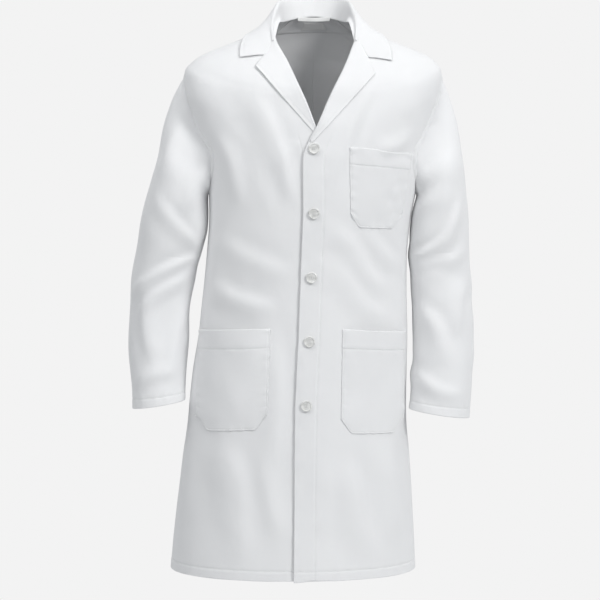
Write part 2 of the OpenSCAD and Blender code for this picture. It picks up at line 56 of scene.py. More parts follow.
camera = bpy.data.objects.new("camera", bpy.data.cameras.new("camera"))
camera.data.lens = 112.3
aim(camera, (-0.0262, -3.5, -0.355), (-0.0262, 0, -0.5364))
bpy.context.scene.camera = camera

# ---- the body surface (mm)
LENGTH, CHEST, OVERLAP, HEM = 1037.0, 280.0, 19.0, 18.0
LOW = (LENGTH - CHEST) / 14              # height of one section below the chest
D_IN, D_OUT = -1.6, -0.4                 # a panel's two faces, measured out from the body surface
LIFT = 5.2                               # the left front lies this far over the right one
BUTTON_TOP, BUTTON_STEP = 258.0, 115.8
# each row of sections: height, reach to the left and right, half depth, middle's y, roundness, and how far
# the front drops and the back rises
HEIGHT, LEFT, RIGHT, DEPTH, MIDDLE_Y, ROUNDNESS, FRONT_DROP, BACK_RISE = range(8)
UPPER = [
    [-15, 62, 62, 58, 5, 2.0, 60, 15],
    [-27, 85, 85, 72, 5, 2.1, 64, 15],
    [-39, 110, 110, 85, 5, 2.2, 68, 10],
    [-56, 150, 150, 100, 4, 2.3, 70, 2],
    [-78, 204, 204, 112, 3, 2.4, 67, -4],
    [-95, 227, 229, 116, 2, 2.4, 62, -8],
    [-113, 237, 241, 119, 2, 2.45, 57, -8],
    [-150, 233, 236, 124, 2, 2.5, 45, -5],
    [-190, 221, 224, 128, 2, 2.5, 30, -2],
    [-235, 209, 212, 131, 2, 2.5, 14, 0],
    [-CHEST, 200, 203, 133, 2, 2.5, 4, 0],
]
LOWER = [
    [190, 197, 133], [180, 196, 131], [174, 200, 129], [173, 205, 128], [174, 211, 129],
    [175, 217, 131], [174, 226, 134], [173, 232, 137], [174, 237, 140], [179, 245, 143],
    [183, 252, 146], [186, 259, 149], [189, 265, 152], [191, 270, 155],
]
SECTIONS = np.array(UPPER + [
    [-CHEST - LOW * (i + 1), a, b, c, 2, 2.5 - 0.022 * (i + 1), 0, 0] for i, (a, b, c) in enumerate(LOWER)
], float)
LAST = len(SECTIONS) - 1


def spline(a, b, c, d, f):
    """Smooth curve from b to c at the share f, with a and d the points before and after them."""
    return b + 0.5 * f * (c - a + f * (2 * a - 5 * b + 4 * c - d + f * (3 * (b - c) + d - a)))


def section(t, column):
    """One column of SECTIONS at the section number t."""
    t = np.clip(t, 0, LAST)
    i = np.minimum(np.floor(t).astype(int), LAST - 1)
    b, c = SECTIONS[i, column], SECTIONS[i + 1, column]
    a = np.where(i > 0, SECTIONS[np.maximum(i - 1, 0), column], 2 * b - c)
    d = np.where(i + 2 <= LAST, SECTIONS[np.minimum(i + 2, LAST), column], 2 * c - b)
    return spline(a, b, c, d, t - i)


def signed_power(v, p):
    return np.sign(v) * np.abs(v) ** p


def surface(t, u):
    """Point of the body surface at section t and angle u: 0 is the wearer's left, -90 the front."""
    t, u = np.broadcast_arrays(np.asarray(t, float), np.asarray(u, float))
    left, right, power = section(t, LEFT), section(t, RIGHT), 2 / section(t, ROUNDNESS)
    c, s = signed_power(np.cos(np.radians(u)), power), signed_power(np.sin(np.radians(u)), power)
    return np.stack([
        (left - right) / 2 + (left + right) / 2 * c,
        section(t, MIDDLE_Y) + section(t, DEPTH) * s,
        section(t, HEIGHT) - np.where(s < 0, section(t, FRONT_DROP), -section(t, BACK_RISE)) * s * s,
    ], -1)


def unit(v):
    return v / np.maximum(np.linalg.norm(v, axis=-1, keepdims=True), 1e-9)


def normals(f, t, u, dt=0.03, du=0.6):
    return unit(np.cross(f(t + dt, u) - f(t - dt, u), f(t, u + du) - f(t, u - du)))


def ease(f):
    """0 below 0, 1 above 1, and a smooth step between."""
    f = np.clip(f, 0, 1)
    return f * f * (3 - 2 * f)


def mix(a, b, f):
    return a + (b - a) * f


def bump(x, at, width):
    """A rounded bump of height 1 at one place."""
    return np.exp(-((x - at) / width) ** 2)


def distances(p, axis=0):
    """Distance from the first point, run along one axis of a line or a grid of points."""
    steps = np.linalg.norm(np.diff(p, axis=axis), axis=-1)
    return np.concatenate([np.zeros_like(steps.take([0], axis)), np.cumsum(steps, axis)], axis)


def halve(is_above, lo, hi, steps):
    """The section where is_above stops being true, found by halving."""
    for _ in range(steps):
        c = (lo + hi) / 2
        above = is_above(c)
        lo, hi = np.where(above, c, lo), np.where(above, hi, c)
    return (lo + hi) / 2


def table(t, rows):
    rows = np.array(rows, float)
    return np.interp(t, rows[:, 0], rows[:, 1])


def across(t, x):
    """Front angle of the point that is x across at section t."""
    left, right = section(t, LEFT), section(t, RIGHT)
    q = (x - (left - right) / 2) / ((left + right) / 2)
    return -np.degrees(np.arccos(np.clip(signed_power(q, section(t, ROUNDNESS) / 2), -0.9999, 0.9999)))


def place(x, z, start=0.05, steps=26):
    """Section and front angle of the point of the front that is seen at x, z."""
    lo, hi = np.full(np.shape(x), start), np.full(np.shape(x), 24.0)
    t = halve(lambda c: surface(c, across(c, x))[..., 2] > z, lo, hi, steps)
    return t, across(t, x)


def middle_x(t):
    return table(t, [[8, 2], [9.3, -1], [11.7, -1], [13.9, -5.5], [16, -9.5], [18.2, -15], [24, -18]])


LEFT_EDGE = [[0.8, 77], [1.1, 76], [1.5, 70], [2, 61], [2.6, 53], [3.7, 42], [5.4, 28],
             [6.7, 14], [8, 3], [8.5, -5], [9, -12], [9.6, -17]]
RIGHT_EDGE = [[0.8, -75], [1.17, -69], [1.5, -60], [2, -48], [2.6, -39], [3.7, -30], [5, -21],
              [6.4, -12], [7.2, -5], [8, 3], [8.6, 8], [9.2, 13]]
ARM_TOP, ARM_BOTTOM = 6.0, 11.0      # sections where the armhole starts and ends
ARM_FRONT = [[6, 0], [7, 4], [8, 8], [8.8, 17], [9.5, 25], [10.1, 23], [10.6, 15], [11, 0]]
ARM_BACK = [[6, 0], [7, 8], [8, 13], [9, 20], [9.6, 23], [10.2, 20], [10.7, 11], [11, 0]]


def smooth_table(t, rows, w=0.25):
    return sum(table(t + d, rows) for d in (-w, -w / 2, 0, w / 2, w)) / 5


def left_x(t):
    return mix(smooth_table(t, LEFT_EDGE), middle_x(t) - OVERLAP, ease(t - 9))


def right_x(t):
    return mix(smooth_table(t, RIGHT_EDGE), middle_x(t) + OVERLAP, ease(t - 9))


def armhole(t, rows):
    """Angle from the side seam to the armhole's edge."""
    return smooth_table(t, rows, 0.2) * ease((11.2 - t) / 0.5)


def lapped(t, x):
    """How far the left front is lifted where it laps over the right one."""
    return LIFT * ease((t - 6) / 2) * ease((90 - (x - middle_x(t))) / 80)


def zero(t, x):
    return 0 * x


# ---- soft folds of the worn cloth
def curve(points, n=14):
    """A smooth line through a few points."""
    p = np.array(points, float)
    p = np.concatenate([[2 * p[0] - p[1]], p, [2 * p[-1] - p[-2]]])
    s = np.linspace(0, len(p) - 3, n)
    i = np.minimum(s.astype(int), len(p) - 4)
    return spline(p[i], p[i + 1], p[i + 2], p[i + 3], (s - i)[:, None])


def ridge(x, z, height, near, far, *points):
    """Height of a long soft ridge: steep on its right side (near), flat on its left (far)."""
    line = curve(np.reshape(points, (-1, 2)))
    best = np.full(x.shape, 1e9)
    side, share = np.zeros(x.shape), np.zeros(x.shape)
    steps = np.linalg.norm(np.diff(line, axis=0), axis=1)
    start = distances(line)
    for k in range(len(line) - 1):
        d = line[k + 1] - line[k]
        f = np.clip(((x - line[k, 0]) * d[0] + (z - line[k, 1]) * d[1]) / (d @ d), 0, 1)
        ex, ez = x - line[k, 0] - f * d[0], z - line[k, 1] - f * d[1]
        r = np.hypot(ex, ez)
        closer = r < best
        best = np.where(closer, r, best)
        side = np.where(closer, (d[0] * ez - d[1] * ex) / np.linalg.norm(d), side)
        share = np.where(closer, (start[k] + f * steps[k]) / start[-1], share)
    width = mix(far, near, 0.5 + 0.5 * np.tanh(side / 4))
    tip = ease(share / 0.35) * ease((1 - share) / 0.35)
    return height * tip * (bump(best, 0, width) - 0.35 * bump(best, 1.9 * width, width))


# each fold: height, width on its steep and on its flat side, and the points x, z along it
FRONT_FOLDS = [
    (4.5, 34, 34, -225, -120, -216, -200, -204, -270),
    (1.0, 16, 26, -198, -115, -166, -196, -134, -286, -80, -377),
    (2.2, 12, 22, -116, -142, -71, -241, -35, -350),
    (2.6, 12, 18, -188, -219, -161, -259, -143, -314, -134, -377),
    (1.6, 8, 14, -26, -232, -53, -286, -35, -368),
    (1.8, 14, 22, -188, -413, -116, -458, -26, -494),
    (2.4, 12, 20, -198, -494, -143, -530, -62, -548),
    (2.4, 10, 16, 118, -124, 77, -196, 46, -277, 19, -350),
    (0.8, 12, 16, 154, -106, 163, -151, 181, -214),
    (1.8, 10, 14, 186, -214, 154, -250, 100, -259),
    (2.2, 13, 20, 10, -386, 64, -431, 105, -494, 154, -521),
    (1.7, 13, 20, 23, -440, 55, -494, 100, -548, 154, -575),
    (1.8, 11, 17, 82, -395, 127, -449, 168, -480),
    (3.2, 14, 26, -80, -566, -67, -674, -71, -800, -89, -936),
    (4.0, 20, 34, -179, -782, -143, -854, -134, -945, -143, -1017),
    (2.6, 18, 26, -116, -782, -89, -873, -62, -981),
    (4.0, 16, 30, 55, -800, 73, -891, 105, -1017),
    (3.2, 16, 26, 127, -782, 145, -891, 154, -999),
    (1.6, 14, 22, 10, -800, 19, -891, 10, -981),
    (4.0, 22, 30, -230, -600, -240, -760, -250, -960),
]
BACK_FOLDS = [
    (4.0, 14, 24, 150, -150, 120, -260, 95, -400, 90, -520),
    (4.0, 24, 14, -150, -150, -125, -260, -105, -400, -110, -520),
    (2.0, 14, 24, 60, -120, 50, -260, 40, -420),
    (2.2, 24, 14, -70, -130, -60, -280, -55, -430),
    (3.2, 12, 20, 180, -420, 110, -470, 30, -500),
    (3.4, 12, 20, -195, -440, -120, -490, -40, -510),
    (2.6, 12, 20, 170, -500, 90, -550, 10, -560),
    (2.6, 12, 20, -190, -520, -110, -560, -30, -580),
    (6.0, 24, 34, 110, -600, 130, -780, 150, -1000),
    (4.5, 22, 30, 30, -620, 35, -800, 45, -1010),
    (5.5, 22, 32, -60, -620, -80, -800, -100, -1010),
    (5.0, 22, 32, -150, -640, -180, -820, -205, -1010),
]
GRID_STEP = 3.0
GRID_X = np.arange(-330, 331, GRID_STEP)
GRID_Z = np.arange(-1080, 31, GRID_STEP)


def soft_noise(x, z, seed, size, count=24):
    """Smooth, seeded, slightly stretched noise between about -1 and 1."""
    r = np.random.default_rng(seed)
    out = np.zeros(np.broadcast(x, z).shape)
    for _ in range(count):
        angle, wave, phase = r.uniform(0, np.pi), size * r.uniform(0.6, 1.8), r.uniform(0, 2 * np.pi)
        out = out + np.sin(2 * np.pi * (x * np.cos(angle) * 1.3 + z * np.sin(angle) * 0.7) / wave + phase)
    return out / np.sqrt(count)


def fold_map(folds, seed):
    x, z = np.meshgrid(GRID_X, GRID_Z)
    h = 1.7 * sum(ridge(x, z, *fold) for fold in folds)
    return h + 0.55 * soft_noise(x, z, seed, 120) + 0.16 * soft_noise(x, z, seed + 1, 38)


FRONT_MAP, BACK_MAP = fold_map(FRONT_FOLDS, 3), fold_map(BACK_FOLDS, 7)


def sample(grid, x, z):
    i = np.clip((x - GRID_X[0]) / GRID_STEP, 0, len(GRID_X) - 1.001)
    j = np.clip((z - GRID_Z[0]) / GRID_STEP, 0, len(GRID_Z) - 1.001)
    a, b = i.astype(int), j.astype(int)
    f, g = i - a, j - b
    low = grid[b, a] * (1 - f) + grid[b, a + 1] * f
    high = grid[b + 1, a] * (1 - f) + grid[b + 1, a + 1] * f
    return low * (1 - g) + high * g


def folds(p, u):
    """Fold height on the body surface, faded out at the neck and evened out at the sides."""
    s = np.sin(np.radians(u))
    front = sample(FRONT_MAP, p[..., 0], p[..., 2])
    back = sample(BACK_MAP, p[..., 0], p[..., 2])
    h = np.where(s < 0, front, back) * ease(np.abs(s) / 0.45)
    return h * ease((-p[..., 2] - 45) / 90)


def shape(t, u):
    """The body surface with its folds."""
    p = surface(t, u)
    return p + normals(surface, t, u, 0.02, 1.0) * folds(p, u)[..., None]


def raised(t, u, d):
    """Points at the height d above the folded body surface."""
    t, u = np.broadcast_arrays(np.asarray(t, float), np.asarray(u, float))
    d = np.broadcast_to(np.asarray(d, float), t.shape)
    return shape(t, u) + normals(shape, t, u) * d[..., None]

# ---- mesh building
pieces = {}


def part(verts, faces, uv, mat=0):
    verts, uv = np.asarray(verts, float).reshape(-1, 3), np.asarray(uv, float).reshape(-1, 2)
    return [verts, np.asarray(faces, int), uv, mat]


def slab_part(outer, inner, uv, wrap=False, bulge=0.55):
    """Closed thin slab between two grids, with rounded edges; wrap joins its first and last columns."""
    m, n = outer.shape[:2]
    size = m * n
    idx = np.arange(size).reshape(m, n)
    right = np.roll(idx, -1, 1) if wrap else idx[:, 1:]
    left = idx if wrap else idx[:, :-1]
    quads = np.stack([left[:-1], left[1:], right[1:], right[:-1]], -1).reshape(-1, 4)
    flat = outer.reshape(-1, 3)
    q = flat[quads]
    face_n = np.cross(q[:, 2] - q[:, 0], q[:, 3] - q[:, 1])
    turned = (face_n * (outer - inner).reshape(-1, 3)[quads].mean(1)).sum() < 0
    if turned:
        quads = quads[:, ::-1]
    verts, uvs, faces = [flat, inner.reshape(-1, 3)], [uv.reshape(-1, 2)] * 2, [quads, quads[:, ::-1] + size]
    if wrap:
        loops = [(idx[0], outer[0] - outer[1]), (idx[-1][::-1], (outer[-1] - outer[-2])[::-1])]
    else:
        e = np.zeros_like(outer)
        e[0] += unit(outer[0] - outer[1])
        e[-1] += unit(outer[-1] - outer[-2])
        e[:, 0] += unit(outer[:, 0] - outer[:, 1])
        e[:, -1] += unit(outer[:, -1] - outer[:, -2])
        ring = np.concatenate([idx[0, :-1], idx[:-1, -1], idx[-1, :0:-1], idx[:0:-1, 0]])
        loops = [(ring, e.reshape(-1, 3)[ring])]
    base = 2 * size
    inner_flat, uv_flat = inner.reshape(-1, 3), uv.reshape(-1, 2)
    for ring, out in loops:
        k = len(ring)
        a, b = flat[ring], inner_flat[ring]
        thick = np.linalg.norm(a - b, axis=1, keepdims=True)
        verts.append((a + b) / 2 + unit(out) * thick * bulge)
        uvs.append(uv_flat[ring])
        mid = base + np.arange(k)
        nxt, nxt_mid = np.roll(ring, -1), np.roll(mid, -1)
        band = np.concatenate([
            np.stack([ring, nxt, nxt_mid, mid], 1),
            np.stack([mid, nxt_mid, nxt + size, ring + size], 1)])
        faces.append(band[:, ::-1] if turned else band)
        base += k
    return part(np.concatenate(verts), np.concatenate(faces), np.concatenate(uvs))


def build(name, parts, materials, nodes=(), body=None):
    """One object from several parts, which replaces the CAD nodes and rides on the body."""
    parts = [p for p in parts if p]
    verts = np.concatenate([p[0] for p in parts]) * MM
    start, loops, counts, uvs, mats = 0, [], [], [], []
    for v, f, uv, mat in parts:
        loops.append((f + start).reshape(-1))
        counts.append(np.full(len(f), f.shape[1]))
        uvs.append(uv[f.reshape(-1)])
        mats.append(np.full(len(f), mat))
        start += len(v)
    loops, counts, uvs, mats = map(np.concatenate, (loops, counts, uvs, mats))
    mesh = bpy.data.meshes.new(name)
    mesh.vertices.add(len(verts))
    mesh.vertices.foreach_set("co", verts.reshape(-1))
    mesh.loops.add(len(loops))
    mesh.loops.foreach_set("vertex_index", loops)
    mesh.polygons.add(len(counts))
    mesh.polygons.foreach_set("loop_start", np.concatenate([[0], np.cumsum(counts)[:-1]]))
    mesh.polygons.foreach_set("material_index", mats)
    mesh.update(calc_edges=True)
    mesh.validate()
    layer = mesh.uv_layers.new(name="cloth")
    layer.data.foreach_set("uv", uvs.reshape(-1))
    mesh.polygons.foreach_set("use_smooth", np.ones(len(counts), bool))
    for m in materials:
        mesh.materials.append(m)
    obj = bpy.data.objects.new(name, mesh)
    bpy.context.scene.collection.objects.link(obj)
    if body:
        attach(obj, body)
    if nodes:
        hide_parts(*nodes)
        pieces[name] = obj
    return obj


def resample(line, extra, step):
    """Points every step along a line, with other columns carried along."""
    s = distances(line)
    at = np.linspace(0, s[-1], max(2, int(round(s[-1] / step)) + 1))
    return [np.stack([np.interp(at, s, a[:, k]) for k in range(a.shape[1])], 1) for a in (line, extra)]


def stitches(line, up, pitch=3.3, length=2.5, width=0.55, rise=0.25):
    """A row of lockstitches along a line on a surface; up is the surface normal at each point."""
    p, n = resample(line, up, pitch)
    if len(p) < 3:
        return None
    c, d = (p[1:] + p[:-1]) / 2, unit(p[1:] - p[:-1])
    n = unit((n[1:] + n[:-1]) / 2)
    w = np.cross(d, n)
    # along the stitch, from -1 to 1: its thickness and how far it stands up
    stations = [(-1.0, 0.15, -0.25), (-0.55, 0.85, 0.75), (0.0, 1.0, 1.0), (0.55, 0.85, 0.75),
                (1.0, 0.15, -0.25)]
    rings = []
    for s, r, h in stations:
        for k in range(6):
            a = np.pi * k / 3
            lift = rise * h + 0.5 * width * r * np.sin(a)
            rings.append(c + d * length / 2 * s + w * (width * r * np.cos(a)) + n * lift)
    v = np.stack(rings, 1)
    per = len(rings)
    f = []
    for i in range(0, per - 6, 6):
        for k in range(6):
            a, b = i + k, i + (k + 1) % 6
            f.append([a, b, b + 6, a + 6])
    e = per - 6
    f += [[3, 2, 1, 0], [5, 4, 3, 0], [e, e + 1, e + 2, e + 3], [e, e + 3, e + 4, e + 5]]
    f = np.array(f)[:, ::-1]
    faces = (f[None] + per * np.arange(len(c))[:, None, None]).reshape(-1, 4)
    q = v.reshape(-1, 3)
    return part(q, faces, np.zeros((len(q), 2)), 1)


def columns(levels, angle_a, angle_b, near_a, near_b, step):
    """Angles of grid columns at set arc distances from both edges, evenly spread between."""
    u = angle_a[:, None] + (angle_b - angle_a)[:, None] * np.linspace(0, 1, 260)
    s = distances(surface(levels[:, None], u), 1)
    total = s[:, -1]
    a, b = np.array(near_a, float), np.array(near_b, float)
    shrink = np.minimum(1, 0.8 * total / (a[-1] + b[-1] + 1e-6))
    n = int(np.ceil((total.max() - a[-1] - b[-1]) / step))
    angles, from_edge = [], []
    for i in range(len(levels)):
        lo, hi = a[-1] * shrink[i], total[i] - b[-1] * shrink[i]
        d = np.concatenate([a * shrink[i], np.linspace(lo, hi, n + 1)[1:-1], total[i] - b[::-1] * shrink[i]])
        angles.append(np.interp(d, s[i], u[i]))
        from_edge.append(d)
    from_edge = np.array(from_edge)
    return np.array(angles), from_edge, total[:, None] - from_edge


def row_list(t0, t1, step_low, fine=()):
    """Rows of sections from t0 to t1; fine lists extra rows."""
    base = []
    t = t0
    while t < t1 - 1e-6:
        base.append(t)
        t += 0.12 if t < 2 else 0.11 if t < 6 else 0.15 if t < 10 else step_low / LOW
    rows = [r for r in base if all(abs(r - f) > 0.05 for f in fine)] + list(fine) + [t1]
    return np.array(sorted(rows))


def groove(dist, at, depth=0.55, width=1.5):
    return -depth * bump(dist, at, width)


def pucker(dist, s, at, seed, height=0.5, reach=9, wave=15):
    """Small dimples that a seam draws in the cloth beside it."""
    r = np.random.default_rng(seed)
    out = 0
    for _ in range(5):
        out = out + np.sin(2 * np.pi * s / (wave * r.uniform(0.6, 1.7)) + r.uniform(0, 6.28))
    return height * 0.45 * out * bump(dist, at, reach)


def sewn_line(dist, run, at, groove_size, layer, seed, height, reach, wave=15):
    """A stitched line at one distance from an edge: its groove, the turned layer under it, its puckers."""
    layers = groove(dist, at, *groove_size) + layer * ease((at - dist) / 3)
    return layers + pucker(dist, run, at, seed, height, reach, wave)


# distances of the fine columns from the front edge and from the side, and of the fine rows from the hem
EDGE = [0, 0.5, 1.2, 2.2, 3.6, 5.5, 8, 11, 15, 20, 26, 31, 33.6, 35, 36, 37, 38, 39.4, 42]
SIDE = [0, 0.5, 1.2, 2.4, 3.8, 5.2, 6.6, 8, 9.5, 11, 12, 13.2, 15, 19]
HEM_FINE = [24 - v / LOW for v in (0.5, 1.2, 2.4, 4.5, 8, 12, 14.5, 16, 17, 18, 19.5, 22, 26)]
FACING_LINE, HEM_LINE, ARMHOLE_LINE, CUFF_LINE, COLLAR_LINE = 37.0, 17.0, 9.5, 16.0, 5.0
STEP = 6.5
ROWS = row_list(0.8, 24, STEP, HEM_FINE)
SEAM_DEG = 0.03                      # half the gap at a seam, in degrees


def relief(out, levels, p, from_edge, from_side, facing, seed):
    """Sewn lines of a panel, as an added height: its hem, facing and armhole."""
    down = distances(p)
    hem = down[-1] - down
    t = levels[:, None]
    out = out + sewn_line(hem, from_edge, HEM_LINE, (0.7, 1.4), 0.35, seed + 1, 0.45, 7)
    if facing:
        f = ease((t - 8.2) / 0.8)
        out = out + f * sewn_line(from_edge, down, FACING_LINE, (0.5, 1.4), 0.25, seed + 2, 0.3, 8, 26)
        out = out + f * pucker(from_edge, down, 0, seed + 3, 0.35, 9, 34)
    f = ease((t - ARM_TOP) / 0.4) * ease((ARM_BOTTOM - t) / 0.3)
    seam = groove(from_side, 12, 0.8, 1.7) + 3.0 * bump(from_side, 5.2, 3.8)
    seam = seam + pucker(from_side, down, 10, seed + 4, 0.7, 10, 22)
    return out + f * seam, hem


def uv_of(x, y):
    """Cloth coordinates from distances in mm: one unit is 0.1 m."""
    return np.stack([x, y], -1) * MM * 10


def between(q, n, a, b, f):
    return mix(q[a], q[b], f), mix(n[a], n[b], f)


def line_at(dist, at, q, n, rows):
    """Points and normals of the grid where dist equals at, one for each of the rows."""
    found = []
    for i in rows:
        if dist[i, -1] > dist[i, 0]:
            j = np.searchsorted(dist[i], at)
        else:
            j = len(dist[i]) - np.searchsorted(dist[i][::-1], at)
        j = int(np.clip(j, 1, dist.shape[1] - 1))
        f = float(np.clip((at - dist[i, j - 1]) / (dist[i, j] - dist[i, j - 1]), 0, 1))
        found.append(between(q, n, (i, j - 1), (i, j), f))
    return [np.array(v) for v in zip(*found)]


def level_at(hem, at, q, n, cols):
    """Points and normals of the grid at one distance above the hem, one for each of the columns."""
    found = []
    for j in cols:
        h = hem[:, j]
        i = int(np.clip(np.searchsorted(-h, -at), 1, len(h) - 1))
        f = float(np.clip((h[i - 1] - at) / (h[i - 1] - h[i]), 0, 1))
        found.append(between(q, n, (i - 1, j), (i, j), f))
    return [np.array(v) for v in zip(*found)]


# ---- materials
def node(tree, kind, inputs=(), **settings):
    """A shader node with its settings and the values of its inputs."""
    n = tree.nodes.new(kind)
    for k, v in settings.items():
        setattr(n, k, v)
    for k, v in dict(inputs).items():
        n.inputs[k].default_value = v
    return n


def wire(tree, *links):
    """Each link is a node and its output, then a node and its input."""
    for a, output, b, into in links:
        tree.links.new(a.outputs[output], b.inputs[into])


def material(name, values):
    """A new material, its node tree and its shader with some values set."""
    m = bpy.data.materials.new(name)
    m.use_nodes = True
    shader = m.node_tree.nodes["Principled BSDF"]
    for k, v in values.items():
        shader.inputs[k].default_value = v
    return m, m.node_tree, shader


def two_colours(tree, first, last):
    ramp = node(tree, "ShaderNodeValToRGB")
    ramp.color_ramp.elements[0].color = (*first, 1)
    ramp.color_ramp.elements[1].color = (*last, 1)
    return ramp


def cloth_material(name, base, rough=0.86, weave=0.35, scale=1.0, sheen=0.12):
    """White twill: fine diagonal weave, tiny slubs, soft colour variation and a crumpled hand."""
    m, t, shader = material(name, {
        "Roughness": rough, "Specular IOR Level": 0.25, "Sheen Weight": sheen, "Sheen Roughness": 0.5})
    bands = dict(wave_type="BANDS", wave_profile="SIN")
    uv, where = node(t, "ShaderNodeUVMap", uv_map="cloth"), node(t, "ShaderNodeTexCoord")
    twill = node(t, "ShaderNodeTexWave", {
        "Scale": 62.0 * scale, "Distortion": 1.2, "Detail": 2.0, "Detail Scale": 40.0},
        bands_direction="DIAGONAL", **bands)
    warp = node(t, "ShaderNodeTexWave", {"Scale": 110.0 * scale, "Distortion": 0.6},
                bands_direction="X", **bands)
    crumple = node(t, "ShaderNodeTexNoise", {"Scale": 42.0, "Detail": 5.0, "Roughness": 0.62})
    slub = node(t, "ShaderNodeTexNoise", {"Scale": 700.0, "Detail": 3.0})
    cloud = node(t, "ShaderNodeTexNoise", {"Scale": 9.0, "Detail": 4.0})
    twill_bump, warp_bump, crumple_bump = (
        node(t, "ShaderNodeBump", {"Strength": strength, "Distance": distance})
        for strength, distance in ((weave, 0.00018), (weave * 0.6, 0.00012), (0.30, 0.0016)))
    darker = (base[0] * 0.972, base[1] * 0.972, base[2] * 0.978, 1)
    tint = node(t, "ShaderNodeMix", {"A": darker, "B": (*base, 1)}, data_type="RGBA")
    add = node(t, "ShaderNodeMath", {1: 0.45}, operation="MULTIPLY_ADD")
    wire(t, (uv, 0, twill, "Vector"), (uv, 0, warp, "Vector"),
         (where, "Object", crumple, "Vector"), (where, "Object", slub, "Vector"),
         (where, "Object", cloud, "Vector"),
         (twill, "Fac", twill_bump, "Height"), (warp, "Fac", warp_bump, "Height"),
         (crumple, "Fac", crumple_bump, "Height"), (twill_bump, 0, warp_bump, "Normal"),
         (warp_bump, 0, crumple_bump, "Normal"), (crumple_bump, 0, shader, "Normal"),
         (slub, "Fac", add, 0), (cloud, "Fac", add, 2), (add, 0, tint, "Factor"),
         (tint, "Result", shader, "Base Color"))
    return m


def thread_material(name, base):
    m, t, shader = material(name, {"Roughness": 0.6, "Sheen Weight": 0.3})
    where = node(t, "ShaderNodeTexCoord")
    fibre = node(t, "ShaderNodeTexNoise", {"Scale": 2600.0})
    ramp = two_colours(t, [c * 0.9 for c in base], base)
    fibre_bump = node(t, "ShaderNodeBump", {"Strength": 0.5, "Distance": 0.0001})
    wire(t, (where, "Object", fibre, "Vector"), (fibre, "Fac", ramp, "Fac"),
         (ramp, "Color", shader, "Base Color"), (fibre, "Fac", fibre_bump, "Height"),
         (fibre_bump, 0, shader, "Normal"))
    return m


def button_material(name, light, dark):
    """Pearly polyester with a soft swirl."""
    m, t, shader = material(name, {"Roughness": 0.22, "Coat Weight": 0.4, "Coat Roughness": 0.08})
    where = node(t, "ShaderNodeTexCoord")
    swirl = node(t, "ShaderNodeTexWave", {
        "Scale": 28.0, "Distortion": 9.0, "Detail": 3.0, "Detail Scale": 1.4},
        wave_type="RINGS", wave_profile="SIN")
    ramp = two_colours(t, dark, light)
    wire(t, (where, "Object", swirl, "Vector"), (swirl, "Fac", ramp, "Fac"),
         (ramp, "Color", shader, "Base Color"))
    return m


TWILL = cloth_material("white_twill", (0.90, 0.902, 0.905))
LINING = cloth_material("white_twill_inside", (0.86, 0.862, 0.866), weave=0.25)
TAPE = cloth_material("white_tape", (0.91, 0.91, 0.90), 0.7, 0.6, 0.5)
WOVEN = cloth_material("woven_label", (0.93, 0.93, 0.92), 0.5, 0.5, 1.6, 0.3)
THREAD = thread_material("white_thread", (0.90, 0.90, 0.895))
PEARL = button_material("pearl_button", (0.86, 0.86, 0.84), (0.70, 0.70, 0.68))
CLOTH_MATS = [TWILL, THREAD]

# ---- body panels
def body_panel(levels, angle_a, angle_b, top, facing, seed, near_a=EDGE):
    """A sewn panel of the body between two angles, its first edge being the front or back middle."""
    angles, from_edge, from_side = columns(levels, angle_a, angle_b, near_a, SIDE, STEP)
    t = levels[:, None] + 0 * angles
    p, n = shape(t, angles), normals(shape, t, angles)
    lift = top(t, surface(t, angles)[..., 0])
    out, hem = relief(lift + D_OUT, levels, p, from_edge, from_side, facing, seed)
    inside = lift + D_IN + 0.35 * (out - lift - D_OUT)
    outer = p + n * out[..., None]
    beside_arm = np.flatnonzero((levels > ARM_TOP + 0.05) & (levels < ARM_BOTTOM - 0.05))
    sew = [level_at(hem, HEM_LINE, outer, n, range(1, angles.shape[1] - 1)),
           line_at(from_side, ARMHOLE_LINE, outer, n, beside_arm)]
    if facing:
        sew.append(line_at(from_edge, FACING_LINE, outer, n, np.flatnonzero(levels > 8.9)))
    slab = slab_part(outer, p + n * inside[..., None], uv_of(from_edge, distances(p)))
    return [slab] + [stitches(*line) for line in sew]


tuck = 3.2 * ease((8.2 - ROWS) / 0.8)          # the fronts end inside the lapels' roll
arm = armhole(ROWS, ARM_FRONT)
left_parts = body_panel(ROWS, across(ROWS, left_x(ROWS) + tuck), -arm - SEAM_DEG, lapped, True, 11)
right_parts = body_panel(ROWS, across(ROWS, right_x(ROWS) - tuck), -180 + arm + SEAM_DEG, zero, True, 21)


def buttonhole(k):
    """Horizontal stitched slit in the left front behind button k."""
    z = -BUTTON_TOP - k * BUTTON_STEP
    t = halve(lambda c: surface(c, -89)[2] > z, 6.0, 24.0, 30)
    last = 39
    xs = np.linspace(middle_x(t) - 5.5, middle_x(t) + 16.5, last + 1)
    u = across(t + 0 * xs, xs)
    n = normals(shape, t + 0 * u, u)
    p = raised(t + 0 * u, u, lapped(t + 0 * xs, xs) + D_OUT + 0.05)
    down = unit(np.cross(n, np.gradient(p, axis=0)))
    out = []
    for side in (-1, 1):
        for i in range(1, last):
            a, b = p[i] + down[i] * side * 0.35, p[i] + down[i] * side * 2.1
            out.append(stitches(np.array([a, (a + b) / 2, b]), n[[i, i, i]], 1.9, 1.9, 0.34, 0.22))
    for i, inward in ((0, 1), (last, -1)):
        for offset in (-0.4, 0.2, 0.8):
            c = p[i] + unit(p[last] - p[0]) * offset * inward
            bar = np.array([c - down[i] * 2.2, c, c + down[i] * 2.2])
            out.append(stitches(bar, n[[i, i, i]], 4.6, 4.6, 0.4, 0.3))
    return out


for k in range(5):
    left_parts += buttonhole(k)
build("front_left_cloth", left_parts, CLOTH_MATS, ["front_left", "front_left_corner"])
build("front_right_cloth", right_parts, CLOTH_MATS, ["front_right", "front_right_corner"])

